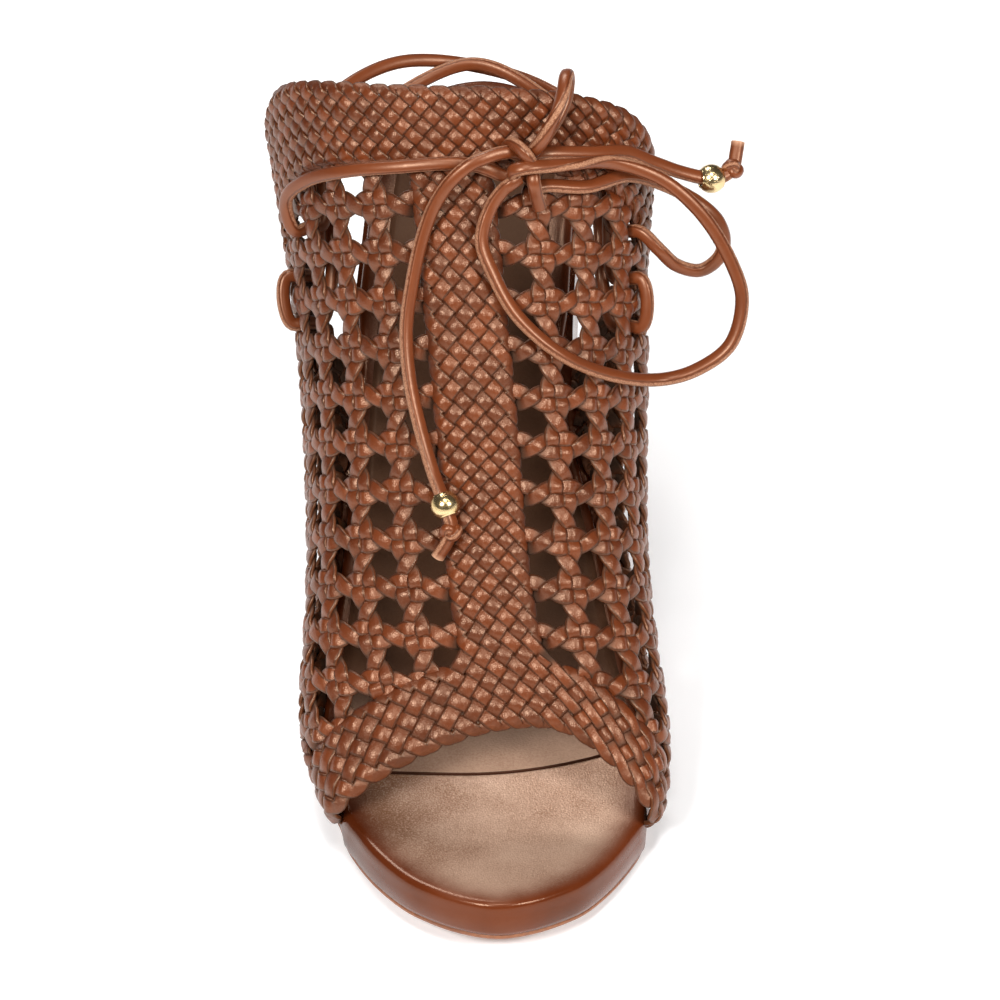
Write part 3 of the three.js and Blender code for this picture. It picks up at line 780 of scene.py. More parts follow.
def strip_tree():
    """Geometry nodes: each path becomes a closed strip with a cushioned section, its face along face_up."""
    tree = bpy.data.node_groups.new("strip_along_path", "GeometryNodeTree")
    kinds = {"Geometry": "Geometry", "Width": "Float", "Thickness": "Float", "Corner": "Float",
             "Crown": "Float", "Sides": "Int", "Material": "Material"}
    for name, kind in kinds.items():
        tree.interface.new_socket(name, in_out="INPUT", socket_type="NodeSocket" + kind)
    tree.interface.new_socket("Geometry", in_out="OUTPUT", socket_type="NodeSocketGeometry")
    given = Wire(tree).node("NodeGroupInput")

    def named(kind, name):
        return given.node("GeometryNodeInputNamedAttribute", {"data_type": kind}, {"Name": name})

    def stored(geometry, name, value):
        settings = {"data_type": "FLOAT", "domain": "POINT"}
        inputs = {"Geometry": geometry, "Name": name, "Value": value}
        return given.node("GeometryNodeStoreNamedAttribute", settings, inputs)

    line = given.node("GeometryNodeMeshToCurve", (), {"Mesh": given.out("Geometry")})
    face = named("FLOAT_VECTOR", "face_up")
    line = given.node("GeometryNodeSetCurveNormal", {"mode": "FREE"}, {"Curve": line, "Normal": face})
    circle = given.node("GeometryNodeCurvePrimitiveCircle", (), {"Resolution": given.out("Sides")})
    angle = given.node("GeometryNodeSplineParameter") * (2 * math.pi)
    sides = []
    for turn in ("COSINE", "SINE"):
        wave = given.maths(turn, angle)
        sides.append(given.maths("SIGN", wave) * given.maths("ABSOLUTE", wave) ** given.out("Corner"))
    across = sides[1] * given.out("Width") * 0.5
    outwards = sides[0] * given.out("Thickness") * 0.5
    outwards = outwards + sides[0].smooth(0.0, 1.0) * given.out("Crown") * (1.0 - sides[1] * sides[1])
    oval = given.node("ShaderNodeCombineXYZ", (), {0: outwards, 1: across})
    section = given.node("GeometryNodeSetPosition", (), {"Geometry": circle, "Position": oval})
    section = stored(stored(section, "across", sides[1]), "outwards", sides[0])
    strip = given.node("GeometryNodeCurveToMesh", (), {
        "Curve": line, "Profile Curve": section, "Scale": named("FLOAT", "fullness"), "Fill Caps": True})
    strip = given.node("GeometryNodeSetShadeSmooth", (), {"Geometry": strip})
    strip = given.node("GeometryNodeRealizeInstances", (), {"Geometry": strip})
    dress = {"Geometry": strip, "Material": given.out("Material")}
    given.node("NodeGroupOutput", (), {"Geometry": given.node("GeometryNodeSetMaterial", (), dress)})
    return tree


strips_along = strip_tree()


def swept(name, paths, width, thickness, corner, crown, sides, material):
    """Runs the tree over paths and keeps the result as one plain mesh."""
    mesh = bpy.data.meshes.new(name)
    starts = np.cumsum([0] + [len(path["points"]) for path in paths])
    edges = [(k, k + 1) for a, b in zip(starts[:-1], starts[1:]) for k in range(a, b - 1)]
    mesh.from_pydata(np.vstack([path["points"] for path in paths]).tolist(), edges, [])
    for field in ("face_up", "fullness", "tone", "over"):
        values = np.concatenate([path[field] for path in paths]).astype(np.float32)
        kind, slot = ("FLOAT_VECTOR", "vector") if values.ndim > 1 else ("FLOAT", "value")
        mesh.attributes.new(field, kind, "POINT").data.foreach_set(slot, values.ravel())
    made = bpy.data.objects.new(name, mesh)
    bpy.context.collection.objects.link(made)
    modifier = made.modifiers.new("strip_along_path", "NODES")
    modifier.node_group = strips_along
    sizes = {"Width": width / 1000, "Thickness": thickness / 1000, "Corner": corner,
             "Crown": crown / 1000, "Sides": sides, "Material": material}
    for socket in strips_along.interface.items_tree:
        if socket.in_out == "INPUT" and socket.name in sizes:
            modifier[socket.identifier] = sizes[socket.name]
    graph = bpy.context.evaluated_depsgraph_get()
    plain = bpy.data.meshes.new_from_object(made.evaluated_get(graph))
    made.modifiers.clear()
    bpy.data.objects.remove(made)
    plain.name = name
    return placed(name, plain)


def woven_leather():
    material, place = new_material("woven_leather")
    tone = place.attribute("tone")
    over = place.attribute("over")
    across = place.attribute("across")
    outwards = place.attribute("outwards")
    cloud = place.noise(90.0, 3.0)
    grain = place.noise(1700.0, 2.0)
    mood = (0.5 * tone + 0.75 * cloud - 0.12).clamp()
    top = mood.blend((70, 27, 8), (110, 49, 17))
    # Painted shade: where a strip dives under its neighbours it is painted nearly black.
    tucked = 1.0 - over.smooth(-1.0, 0.4)
    # Painted shade: the edges of each strip are painted dark, for the shade in the gaps between strips.
    colour = (0.85 * (across * across).smooth(0.66, 0.95)).blend(top, (44, 16, 6))
    colour = (1.0 - outwards.smooth(0.3, 0.75)).blend(colour, (92, 48, 24))
    colour = (0.9 * tucked).clamp().blend(colour, (24, 9, 4))
    rough = 0.26 + 0.1 * cloud + 0.1 * grain + 0.45 * tucked.clamp()
    relief = 0.6 * grain + 0.4 * place.pores(1500.0, 0.3)
    return dressed(material, colour, rough, 0.9, relief, 0.000055)


def band_middle(s):
    """Where the middle of the instep band lies: towards the little toe in front, on the ridge behind."""
    front, back = band_change
    return band_start + band_shift * np.clip((s - front) / (back - front), 0, 1)


def lattice_place(i, j):
    """Where crossing (column i, row j) of the close plait lies on the last, as u and s."""
    toe_top = toe_edge + toe_rows * toe_row
    collar_base = collar_edge - collar_rows * collar_row
    instep = toe_top + (j - toe_rows) * (collar_base - toe_top) / instep_rows
    collar = collar_base + (j - collar_from) * collar_row
    s = np.where(j < toe_rows, toe_edge + j * toe_row, np.where(j > collar_from, collar, instep))
    away = np.abs(i - half_columns)
    column = toe_column + (collar_column - toe_column) * smooth_step(*column_change, s)
    beyond = instep_column * half_columns + (away - half_columns) * column
    out = np.where(away <= half_columns, away * instep_column, beyond)
    return np.sign(i - half_columns) * out + band_middle(s), s


def plait_spacing(i, j, heading):
    """How far apart neighbouring strips of the close plait lie on the last at (i, j).

    Heading is 1 for strips that climb towards the medial side, and -1 for those that cross them.
    It is measured one column nearer the instep, because the last ends at the sole."""
    def at(column, row):
        u, s = lattice_place(column, row)
        return last_point(u, np.clip(s, 0, ridge_length))[0]

    i = i - np.sign(i - half_columns)
    across = at(i + 0.5, j) - at(i - 0.5, j)
    upwards = at(i, j + 0.5) - at(i, j - 0.5)
    cell = np.linalg.norm(np.cross(across, upwards), axis=1)
    return 2 * cell / np.maximum(0.1, np.linalg.norm(across + heading[:, None] * upwards, axis=1))


def close_runs():
    """Traces each strip through the cells: straight on at a crossing, folded back at an edge."""
    joints = {}
    for j in range(collar_from + collar_rows):
        reach = 0 if toe_rows <= j < collar_from else band_reach
        for i in range(-reach, instep_columns + reach):
            a, b = ((i, j), (i + 1, j + 1)) if (i + j) % 2 == 0 else ((i + 1, j), (i, j + 1))
            joints.setdefault(a, set()).add(b)
            joints.setdefault(b, set()).add(a)

    def onwards(before, at):
        ahead = (2 * at[0] - before[0], 2 * at[1] - before[1])
        if ahead in joints[at]:
            return ahead
        others = [p for p in joints[at] if p != before]
        return others[0] if len(others) == 1 else None

    unused = {frozenset((a, b)) for a in joints for b in joints[a]}
    runs = []

    def trace(start, second):
        run = [start, second]
        unused.discard(frozenset(run))
        while True:
            ahead = onwards(run[-2], run[-1])
            if ahead is None or frozenset((run[-1], ahead)) not in unused:
                return run
            unused.discard(frozenset((run[-1], ahead)))
            run.append(ahead)

    for start in sorted(p for p in joints if len(joints[p]) == 1):
        (second,) = joints[start]
        if frozenset((start, second)) in unused:
            runs.append(trace(start, second))
    while unused:
        start, second = sorted(min(unused, key=sorted))
        runs.append(trace(start, second))
    return runs


def fold_distance(span):
    """A distance from a folded edge, in crossings, as it is once the fold is rounded off."""
    return np.where(span < fold_round, fold_round / 2 + span ** 2 / (2 * fold_round), span)


def fold_share(span):
    return np.clip(1 - span / fold_reach, 0, 1)


def close_strips(strips):
    """The close plait: strips weave over one and under one, and roll over at the folded edges."""
    for run in close_runs():
        run = np.array(run, float)
        count = (len(run) - 1) * steps_per_crossing + 1
        t = np.linspace(0, len(run) - 1, count)
        k = np.minimum(t.astype(int), len(run) - 2)
        f = (t - k)[:, None]
        line = run[k] * (1 - f) + run[k + 1] * f
        heading = np.sign((run[k + 1] - run[k]).prod(1))
        # near a fold the path rounds off, lies level and rolls over the edge
        turn = np.zeros(count)
        out = np.zeros((count, 2))
        for n in range(1, len(run) - 1):
            ahead = run[n + 1] - run[n]
            back = run[n - 1] - run[n]
            if np.allclose(ahead, -back):
                continue
            inwards = (ahead + back) / 2
            span = np.abs(t - n)
            line += inwards * (fold_distance(span) - span)[:, None]
            turn = np.maximum(turn, fold_share(span))
            out[fold_share(span) > 0] = -inwards
        height = np.where(turn > fold_level, 0.0, heading * np.cos(np.pi * line[:, 0]))
        u, s = lattice_place(line[:, 0], line[:, 1])
        room = girth(side_of(u), s) - np.abs(u)
        roll = close_roll * turn ** fold_power
        spread = np.clip(plait_spacing(line[:, 0], line[:, 1], heading) / close_spacing, *close_spread)
        window = 2 * steps_per_crossing + 1
        evened = np.convolve(np.pad(spread, steps_per_crossing, "edge"), np.ones(window), "valid")
        full = (1 - fold_narrowing * turn) * evened / window
        strips.lay_kept(room > close_room, u, s, height, roll * out[:, 0], roll * out[:, 1],
                        close_sink * turn, full)


def alternate(events, at, first):
    """A height that swings between 1 and -1 from one event to the next, first at the first event."""
    k = np.clip(np.searchsorted(events, at, side="right") - 1, 0, len(events) - 2)
    f = np.clip((at - events[k]) / (events[k + 1] - events[k]), 0, 1)
    sign = first * (1 - 2 * (k % 2))
    return sign * np.cos(np.pi * f)


def lattice_pair(along, nodes, first_heights):
    """Both strips of a pair: offset from the pair's middle line, height and lean, at places along it.

    At each node the strips run side by side over a crossing pair; between nodes they change over."""
    half = pair_spacing / 2
    events = []
    for a, b in zip(nodes[:-1], nodes[1:]):
        events += [a - half, a + half, (a + b) / 2]
    events = np.array(events + [nodes[-1] - half, nodes[-1] + half])
    k = np.clip(np.searchsorted(nodes, along, side="right") - 1, 0, len(nodes) - 2)
    gap = nodes[k + 1] - nodes[k]
    f = (along - nodes[k]) / gap
    swing = smooth_step(*change_over, f)
    start = np.where(k % 2 == 0, 1.0, -1.0)
    offset = start * (1 - 2 * swing) * half
    changing = swell(*change_span, f)
    strands = []
    for sign, first in zip((1, -1), first_heights):
        height = alternate(events, along, first)
        strands.append((sign * offset, height, change_lean * sign * offset / half * height * changing))
    return strands


def lattice_table(side):
    """Where the lattice's own coordinates lie on one side of the last, as tables of u and s.

    A table's rows are heights up the slope of the instep, 1 mm apart. Its columns are distances from
    the middle of the instep band along that height's level line, 1 mm apart. Outside the last it holds
    no number."""
    u = np.arange(table_reach, dtype=float)
    s = np.arange(0, ridge_length + 1)
    levels = np.arange(table_height, dtype=float)
    grid_u, grid_s = (grid.ravel() for grid in np.meshgrid(u, s))
    place, room = last_point(side * np.maximum(grid_u, 0.01), grid_s)
    climb = (place @ climb_way).reshape(len(s), len(u))
    inside = (grid_u <= room).reshape(len(s), len(u))
    level_s = np.full((len(levels), len(u)), np.nan)
    for k in range(len(u)):
        on = inside[:, k]
        if on.sum() > 1:
            level_s[:, k] = np.interp(levels, climb[on, k], s[on], left=np.nan, right=np.nan)
    flat_u = np.tile(side * np.maximum(u, 0.01), len(levels))
    place = last_point(flat_u, np.nan_to_num(level_s.ravel()))[0].reshape(*level_s.shape, 3)
    table = np.full((2, len(levels), len(u)), np.nan)
    above = None
    for i in range(len(levels) - 1, -1, -1):
        on = np.flatnonzero(np.isfinite(level_s[i]))
        if len(on) < 3:
            continue
        away = way_along(place[i, on])
        away += -side * band_middle(level_s[i, 0]) if on[0] == 0 else np.interp(on[0], *above)
        above = (u[on], away)
        table[0, i] = np.interp(u, away, u[on], left=np.nan, right=np.nan)
        table[1, i] = np.interp(u, away, level_s[i, on], left=np.nan, right=np.nan)
    return table


lattice_tables = {side: lattice_table(side) for side in (lateral_side, medial_side)}


def lattice_at(side, away, climb):
    """The u and s of places given by their distance from the instep band and height up its slope."""
    table = lattice_tables[side]
    row = np.clip(climb, 0, table.shape[1] - 1.01)
    column = np.clip(away, 0, table.shape[2] - 1.01)
    i, j = row.astype(int), column.astype(int)
    f, g = row - i, column - j
    u, s = ((1 - f) * ((1 - g) * field[i, j] + g * field[i, j + 1])
            + f * ((1 - g) * field[i + 1, j] + g * field[i + 1, j + 1]) for field in table)
    return side * u, s


def lattice_strips(strips, side):
    """The open lattice on one side of the foot."""
    rows = first_row + row_pitch * row_numbers
    columns = first_column + column_pitch * column_numbers
    runs = []
    for row in rows:
        way = np.arange(row_start, columns[-1], sample_length)
        for offset, height, lean in lattice_pair(way, columns, (-1, 1)):
            runs.append((way, row + offset, height, 0 * lean, lean))
    for column in columns[1:]:
        way = np.arange(rows[0], rows[-1], sample_length)
        for offset, height, lean in lattice_pair(way, rows, (1, -1)):
            runs.append((column + offset, way, height, side * lean, 0 * lean))
    for away, climb, height, roll_u, roll_s in runs:
        u, s = lattice_at(side, away, climb)
        room = girth(side, np.nan_to_num(s)) - np.abs(u)
        keep = (s > lattice_span[0]) & (s < lattice_span[1]) & (room > lattice_room)
        tucked = 1 - smooth_step(*band_tuck, away) + 1 - smooth_step(*toe_tuck, s)
        tucked += smooth_step(*collar_tuck, s) + 1 - smooth_step(*sole_tuck, room)
        sink = tuck_depth * np.clip(tucked, 0, 1)
        full = (over_width + under_width) / 2 + (over_width - under_width) / 2 * height
        strips.lay_kept(keep, u, s, height, roll_u, roll_s, sink, full)


def base_strips(strips, side):
    """The narrow plait along the sole."""
    first, last = base_span
    steps = int((last - first) / base_step)
    t = np.linspace(0, steps, steps * steps_per_crossing + 1)
    s = first + t * base_step
    for strand in range(base_strands):
        phase = (t + 2 * strand) % (2 * base_strands)
        rising = phase < base_strands
        index = np.where(rising, phase, 2 * base_strands - phase)
        fold = np.minimum(index, base_strands - index)
        rounded = fold_distance(fold)
        index = np.where(index < base_strands / 2, rounded, base_strands - rounded)
        height = np.where(fold < 0.5, 0.0, np.where(rising, 1, -1) * np.cos(np.pi * index))
        u = side * (girth(side, s) - base_margin - index * base_width / base_strands)
        roll = base_roll * fold_share(fold) ** fold_power * np.where(index < base_strands / 2, 1, -1)
        ends = 1 - smooth_step(*base_start, s) + smooth_step(*base_end, s)
        strips.lay(u, s, height, roll_u=side * roll, sink=tuck_depth * np.clip(ends, 0, 1) - base_proud)


glazed = woven_leather()
# Each plait: how it is woven, its side, its seed, the width of a strip and the corners of its section
plaits = {
    "close_plait": (close_strips, (), 11, close_width, 10),
    "lattice_lateral": (lattice_strips, (lateral_side,), 12, lattice_width, 12),
    "lattice_medial": (lattice_strips, (medial_side,), 13, lattice_width, 12),
    "base_plait_lateral": (base_strips, (lateral_side,), 14, base_strip, 12),
    "base_plait_medial": (base_strips, (medial_side,), 15, base_strip, 12),
}
for name, (weave, side, seed, width, sides) in plaits.items():
    strips = Strips(seed)
    weave(strips, *side)
    plait = swept(name, strips.paths, width, strip_thick, strip_corner, strip_crown, sides, glazed)
    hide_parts("woven_upper")
    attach(plait, "root")


# Tie: a 3 mm lace of two strips of calf pasted back to back, their raw edges left fuzzy.
# It lies across the front, passes through the lattice, goes three times round behind the ankle
# and is tied in a bow at the instep. Both loose ends carry a bead held by a knot.

cord_width = 3.1
cord_thick = 2.6
cord_corner = 0.8
cord_sides = 16
cord_spacing = 0.7
cord_settling = 0.12
cut_end = 1.2
on_weave = 2.9
passing_in = (1.5, -2, -5.5)
passing_out = passing_in[::-1]
over_bar = (on_weave,)


def upper_point(u, s, lift=on_weave):
    """A point at a height over the last; a cord laid on the weave has its middle at on_weave."""
    place, normal, _, _ = last_frame(np.array([u]), np.array([s]))
    return (place + normal * lift)[0]


def open_square(side, row, column, lifts):
    """Points straight through an open square of the lattice, counted from the toe and the instep."""
    away = first_column + column_pitch * (column - 0.5)
    climb = first_row + row_pitch * (row - 0.5)
    (u,), (s,) = lattice_at(side, np.array([away]), np.array([climb]))
    return [upper_point(u, s, lift) for lift in lifts]


def cord_calf():
    material, place = new_material("cord_calf")
    across = place.attribute("across")
    cut = place.attribute("over")
    cloud = place.noise(120.0, 3.0)
    grain = place.noise(1500.0, 3.0)
    fuzz = place.noise(4200.0, 2.0)
    ragged = across.maths("ABSOLUTE", across) + (grain - 0.5) * 0.16
    raw = ragged.smooth(0.9, 0.97)
    joint = ragged.smooth(0.76, 0.84) - ragged.smooth(0.88, 0.92)
    calf = (cloud * 0.8 + 0.1).clamp().blend((88, 39, 16), (118, 57, 26))
    colour = (0.6 * joint).clamp().blend(calf, (62, 27, 12))
    fibres = fuzz.smooth(0.3, 0.7).blend((112, 66, 42), (178, 130, 100))
    colour = (raw * 0.9).clamp().blend(colour, fibres)
    colour = cut.clamp().blend(colour, (176, 132, 104))
    rough = 0.28 + 0.14 * grain + 0.3 * raw.clamp()
    relief = 0.3 * grain + raw * fuzz * 1.2 - joint * 0.6
    return dressed(material, colour, rough, 0.8, relief, 0.00008)


def cord_path(route, flat_towards, twist=0.0, cut=False):
    """A cord's path: its flat face settles towards a direction, and turns by twist degrees on the way."""
    along = unit(np.gradient(route, axis=0))
    aim = np.asarray(flat_towards, float)
    face = aim
    faces = []
    for step in along:
        face = face + cord_settling * aim
        face = unit(face - step * (face @ step))
        faces.append(face)
    faces = np.array(faces)
    turn = np.radians(twist) * np.linspace(0, 1, len(route))[:, None]
    faces = faces * np.cos(turn) + np.cross(along, faces) * np.sin(turn)
    left = np.arange(len(route))[::-1] * cord_spacing
    return {
        "points": row_frame(route),
        "face_up": faces,
        "fullness": np.ones(len(route)),
        "tone": np.zeros(len(route)),
        "over": np.clip(1 - left / cut_end, 0, 1) if cut else np.zeros(len(route)),
    }


wraps_points = [
    (7.4, 121.5, 124.1), (5.2, 121.6, 124.5), (2.5, 122.1, 125.5), (-0.6, 122.3, 126.7),
    upper_point(2, 130.4), upper_point(-10, 129.6),
    upper_point(-22, 128.8), upper_point(-34, 128), upper_point(-43, 126.6, 3.6),
    *open_square(lateral_side, 9, 3, passing_in),
    upper_point(-50, 134, -9),
    (-37, 163, 110), (-20, 180, 110.5), (6, 184, 104), (22, 172, 103), (27, 158, 102),
    upper_point(57, 136, -9),
    *open_square(medial_side, 8, 3, passing_out),
    *open_square(medial_side, 7.5, 3, over_bar),
    *open_square(medial_side, 7, 3, passing_in),
    upper_point(65, 125, -10), upper_point(70, 138, -11),
    (24, 161, 95.5), (2, 180, 96.5), (-30, 166, 95),
    upper_point(-70, 138, -11.5), upper_point(-65, 125, -10),
    *open_square(lateral_side, 7, 4, passing_out),
    *open_square(lateral_side, 7.5, 4, over_bar),
    *open_square(lateral_side, 8, 4, passing_in),
    upper_point(-57, 137, -9.5),
    (-33, 162, 103), (-3, 179, 111), (17, 167, 108),
    upper_point(47, 137, -9.5),
    *open_square(medial_side, 9, 3, passing_out),
    (40.5, 125.5, 100), (44.5, 125.5, 95.5), (49.9, 125.8, 93.8), (54.1, 126.3, 97.3),
    (55.1, 127.5, 101.6), (53.4, 128.5, 106.5), (48.8, 129.6, 110.8), (40.8, 131.8, 114.2),
    upper_point(43, 134.2), upper_point(31, 128.2), upper_point(22, 126.8, 3),
    (12.8, 120.4, 122.4), (10.8, 120.2, 122.5),
]
side_loop_points = [
    (8.8, 120.5, 125.5), (7.3, 119.3, 126.9), (7.6, 117.9, 129.1), (9.5, 117.6, 130.0),
    (11.9, 118.1, 130.0), (15.7, 119.7, 129.0), (21.5, 122.2, 127.6), upper_point(36.2, 135, 6.5),
    (40.6, 126.3, 120), (49.8, 123.5, 112.2), (56.8, 119.2, 101.3), (59.2, 115.4, 94.1),
    (56.7, 110.1, 85.2), (49.3, 106.9, 80.4), (41.4, 105.3, 78.7),
    upper_point(34, 91.5, 3.1), upper_point(19.8, 90.8, 3), upper_point(10.8, 97.5),
    upper_point(7, 105.8), upper_point(5.5, 113.2), upper_point(8.5, 120.8, 3.4),
    (5.2, 117.9, 123.6), (6.9, 118.2, 125.1), (8.6, 119.5, 125.6),
]
top_loop_points = [
    (10.9, 124, 128.6), (13, 124.9, 131.1), (15.6, 127.9, 133.1), (17.8, 131.2, 135.4),
    (19, 133.7, 137.7), (19.4, 135.1, 140.7), (19.2, 133.9, 143.8), (18.8, 130.9, 144.9),
    (18.3, 127.3, 143.9), (17, 124.3, 141), (14.5, 121.7, 136.1), (12.3, 121.5, 132.3),
    (10.5, 122.1, 130.2),
]
side_end_points = [
    (11.6, 124.6, 127.9), (14.6, 125, 128.4), upper_point(33.2, 135.8), upper_point(43, 138.8),
    (38.9, 133.7, 118.8), (45.4, 134.6, 115.2), (52.1, 135.5, 112.8), (55.0, 136.5, 112.9),
    (57.0, 138.2, 114.0), (57.7, 140.6, 116.0), (58.1, 142.7, 117.7),
]
front_end_points = [
    (8.5, 123.1, 129.7), (6.5, 122.4, 130.7), (3.6, 121.3, 131.0), (0.5, 119.9, 130.7),
    upper_point(5.5, 130.5, 7), upper_point(1, 126.8, 6.2),
    upper_point(-3.5, 120.8, 4.2), upper_point(-7.2, 113.2, 3.2), upper_point(-10.2, 105),
    upper_point(-13.2, 94.5), upper_point(-14, 84), upper_point(-13.2, 72.8),
    upper_point(-11.6, 62, 3.2), upper_point(-10.1, 55.5, 4.3), upper_point(-9.3, 51.2, 4.5),
    upper_point(-8.9, 47.2, 4.2), upper_point(-10.2, 44.2, 3.5), upper_point(-13.2, 40.5, 2.7),
]
pasted_calf = cord_calf()
towards_eye = (0.0, -0.74, 0.67)
# Each run: its route, the solid it stands for, where its flat face looks, its twist, whether its end is cut
cords = {
    "wrap_cord": (wraps_points, "tie_wraps", towards_eye, 30, False),
    "side_loop_cord": (side_loop_points, "bow_loop_side", (-0.2, -0.6, 0.8), 40, False),
    "top_loop_cord": (top_loop_points, "bow_loop_top", towards_eye, 0, False),
    "side_end_cord": (side_end_points, "tie_end_side", (0.0, -0.5, 0.9), 0, True),
    "front_end_cord": (front_end_points, "tie_end_front", (0.3, -0.7, 0.6), -30, True),
}
routes = {}
for name, (points, node, flat_towards, twist, cut) in cords.items():
    routes[name] = smooth_route(points, cord_spacing)
    path = cord_path(routes[name], flat_towards, twist, cut)
    piece = swept(name, [path], cord_width, cord_thick, cord_corner, 0.0, cord_sides, pasted_calf)
    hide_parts(node)
    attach(piece, "root")


# Knots: the tie's knot is one turn of the same lace drawn tight over the bundle of its runs.
# Each loose end has one small overhand knot that stops the bead.

knot_points = [
    (6, 125.8, 129.4), (6.9, 124, 131.8), (8.3, 121.4, 133.2), (10, 119.6, 132.6), (11.2, 119.3, 130.4),
    (11.7, 120, 127.3), (12, 118.2, 125.4), (12.6, 118.3, 121.5), (13.3, 118.4, 118),
]
end_tails = {"side_end_cord": 6.0, "front_end_cord": 7.2}
end_knot_size = 0.52
end_knot_depth = 1.6
end_knot_cord = 2.4
end_knot_sides = 12
end_knot_points = 90
aside = (0.3, 1.0, 0.2)


def square_to(route, tail):
    """The point of a route at a distance from its end, its direction, and two directions square to it."""
    at = len(route) - 1 - round(tail / cord_spacing)
    axis = unit(route[at + 2] - route[at - 2])
    first = unit(np.cross(axis, aside))
    return route[at], axis, first, np.cross(axis, first)


def end_knot_path(route, tail):
    """A small overhand knot round the cord, at the given distance from its cut end."""
    middle, axis, first, second = square_to(route, tail)
    t = np.linspace(0, 2 * math.pi, end_knot_points)[:, None]
    x = np.sin(t) + 2 * np.sin(2 * t)
    y = np.cos(t) - 2 * np.cos(2 * t)
    z = -np.sin(3 * t) * end_knot_depth
    loop = middle + end_knot_size * (first * x + second * y + axis * z)
    return cord_path(loop, first)


knot_turn = cord_path(smooth_route(knot_points, cord_spacing), towards_eye)
tie_knot = swept("tie_knot_cord", [knot_turn], cord_width, cord_thick, cord_corner, 0.0, cord_sides,
                 pasted_calf)
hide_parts("tie_knot")
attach(tie_knot, "root")
for name, tail in end_tails.items():
    loop = end_knot_path(routes[name], tail)
    knot = swept(name.replace("cord", "knot"), [loop], end_knot_cord, end_knot_cord, 1.0, 0.0,
                 end_knot_sides, pasted_calf)
    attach(knot, "root")


# Beads: two turned brass beads, bored for the cord, plated pale gold and polished.
# Fine dimples are hammered round the middle of each. A bead slides on its loose end down to the knot.

bead_width = 6.6
bead_bore = 3.7
bead_lip = 0.35
lip_height = 0.2
lip_steps = 5
bead_seat = 3.3
bead_rings = 48


def pale_gold():
    material, place = new_material("pale_gold")
    cloud = place.noise(300.0, 2.0)
    dimples = place.node("ShaderNodeTexVoronoi", (), {"Vector": place, "Scale": 2300.0})
    middle = 1.0 - place.attribute("up_bead").smooth(0.3, 0.42)
    pit = (1.0 - dimples.smooth(0.15, 0.5)) * middle
    colour = cloud.smooth(0.3, 0.7).blend((196, 168, 116), (220, 194, 146))
    rough = 0.12 + 0.06 * cloud + 0.08 * middle
    looks = {"Base Color": colour, "Roughness": rough, "Metallic": 1.0}
    return surfaced(material, looks, 1.0 - pit, 0.00002)


def bead(name, route, tail):
    """A bored bead just above the end knot, with a rounded lip at both ends of its bore."""
    bore = bead_bore / 2
    half = math.sqrt(bead_width ** 2 - (bead_bore + 2 * bead_lip) ** 2) / 2
    middle, axis, first, second = square_to(route, tail + bead_seat + half)
    tilt = math.atan2(half, bore + bead_lip)
    arc = np.linspace(-tilt, tilt, 23)
    profile = [(bead_width / 2 * math.cos(a), bead_width / 2 * math.sin(a)) for a in arc]
    for end, start in ((1, 1), (-1, 0)):
        for bend in math.pi / lip_steps * np.arange(start, start + lip_steps):
            across = bore + bead_lip * (0.5 + 0.5 * end * math.cos(bend))
            profile.append((across, end * (half + lip_height * math.sin(bend))))
    points = []
    for turn in np.arange(bead_rings) * 2 * math.pi / bead_rings:
        spoke = first * math.cos(turn) + second * math.sin(turn)
        points += [middle + spoke * radius + axis * height for radius, height in profile]
    up = np.tile([abs(height) / bead_width for _, height in profile], bead_rings)
    grid = np.arange(len(points)).reshape(bead_rings, len(profile))
    return skin(name, points, quads(np.pad(grid, (0, 1), "wrap")), up_bead=up)


gilt = pale_gold()
beads = {}
for cord_name, name, node in (("side_end_cord", "gold_bead_side", "bead_side"),
                              ("front_end_cord", "gold_bead_front", "bead_front")):
    made = bead(name, routes[cord_name], end_tails[cord_name])
    made.data.materials.append(gilt)
    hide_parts(node)
    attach(made, "root")
    beads[cord_name] = made
for name, route in routes.items():
    loose = name in beads


# Floor, light and camera: a white floor under large soft lamps, seen as in the photograph,
# from the front and 42 degrees above, through a long lens.

camera_azimuth = -1.0
camera_elevation = 42.0
camera_distance = 1.25
lens = 196.4
aim_right = 0.0036
aim_down = 0.0133
camera_centre = (0, 107, 62)
floor_half = 4.0
floor_drop = 0.0002
lamp_target = (0, 0, 0.06)
lamps = {
    "overhead_lamp": {"place": (0.05, -0.3, 1.4), "width": 0.5, "power": 6},
    "left_lamp": {"place": (-0.5, -0.85, 1.05), "width": 0.4, "power": 17},
    "right_lamp": {"place": (0.75, -0.7, 0.95), "width": 0.4, "power": 13},
    "back_lamp": {"place": (-0.35, 0.9, 1.0), "width": 0.5, "power": 7},
}


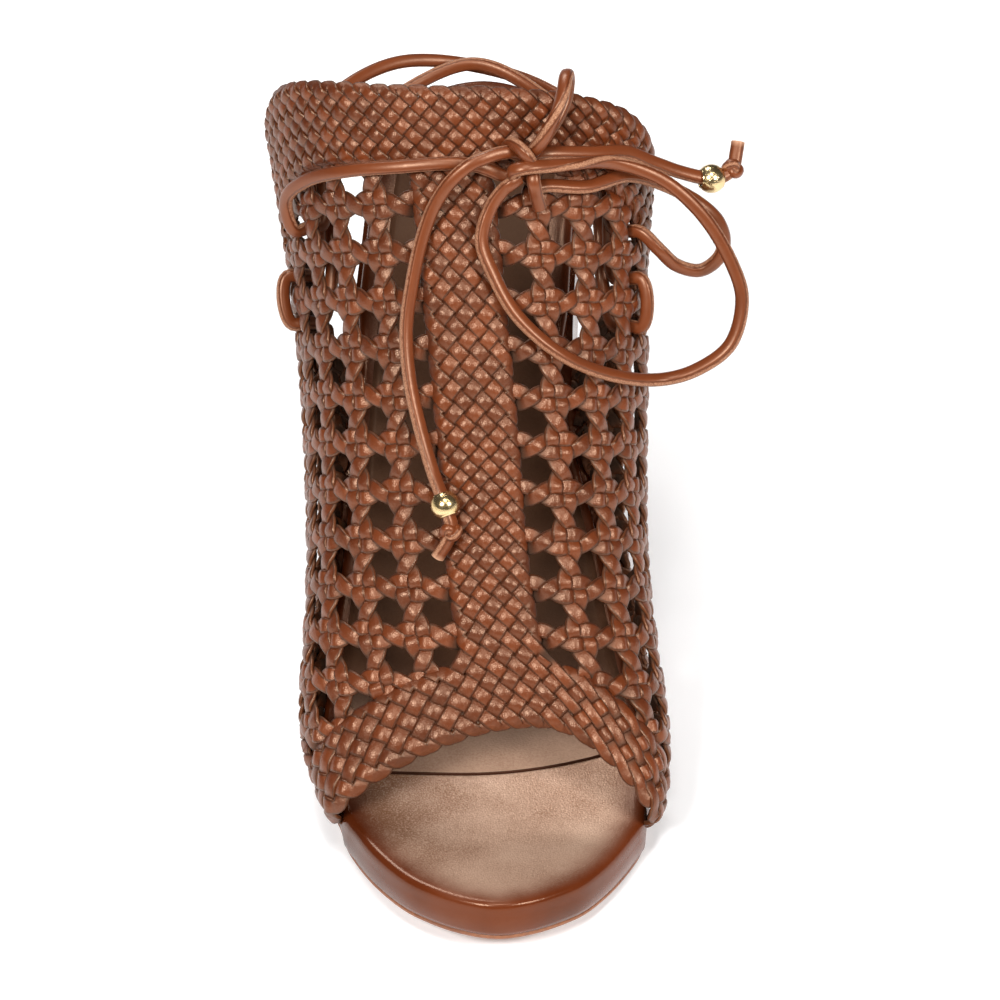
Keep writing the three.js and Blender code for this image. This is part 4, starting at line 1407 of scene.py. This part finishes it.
def floor_white():
    material, place = new_material("floor_white")
    cloud = place.noise(3.0, 2.0)
    colour = cloud.smooth(0.2, 0.8).blend((246, 246, 246), (252, 252, 252))
    return surfaced(material, {
        "Base Color": colour, "Roughness": 0.7 + 0.1 * cloud,
        "Emission Color": (1, 1, 1, 1), "Emission Strength": 0.1,
    })


def studio_floor():
    mesh = bpy.data.meshes.new("studio_floor")
    corners = [(x * floor_half, y * floor_half, 0) for x, y in ((-1, -1), (1, -1), (1, 1), (-1, 1))]
    mesh.from_pydata(corners, [], [(0, 1, 2, 3)])
    made = bpy.data.objects.new("studio_floor", mesh)
    made.location.z = -floor_drop
    bpy.context.collection.objects.link(made)
    mesh.materials.append(floor_white())
    return made


def soft_lamp(name, place, width, power):
    lamp = bpy.data.lights.new(name, "AREA")
    lamp.shape = "DISK"
    lamp.size = width
    lamp.energy = power
    made = bpy.data.objects.new(name, lamp)
    made.location = place
    made.rotation_euler = (Vector(lamp_target) - Vector(place)).to_track_quat("-Z", "Y").to_euler()
    bpy.context.collection.objects.link(made)


studio_floor()
for name, lamp in lamps.items():
    soft_lamp(name, **lamp)
studio = bpy.data.worlds.new("studio")
studio.use_nodes = True
studio.node_tree.nodes["Background"].inputs["Color"].default_value = (1, 1, 1, 1)
studio.node_tree.nodes["Background"].inputs["Strength"].default_value = 0.1
bpy.context.scene.world = studio
bpy.context.scene.view_settings.view_transform = "Standard"

azimuth = math.radians(camera_azimuth)
elevation = math.radians(camera_elevation)
level = math.cos(elevation)
forward = Vector((math.sin(azimuth) * level, math.cos(azimuth) * level, -math.sin(elevation)))
right = forward.cross(Vector((0, 0, 1))).normalized()
upward = right.cross(forward)
camera = bpy.data.objects.new("camera", bpy.data.cameras.new("camera"))
camera.data.lens = lens
camera.location = Vector(row_frame(camera_centre)) - forward * camera_distance
aim = forward + right * aim_right - upward * aim_down
camera.rotation_euler = aim.to_track_quat("-Z", "Y").to_euler()
bpy.context.collection.objects.link(camera)
bpy.context.scene.camera = camera
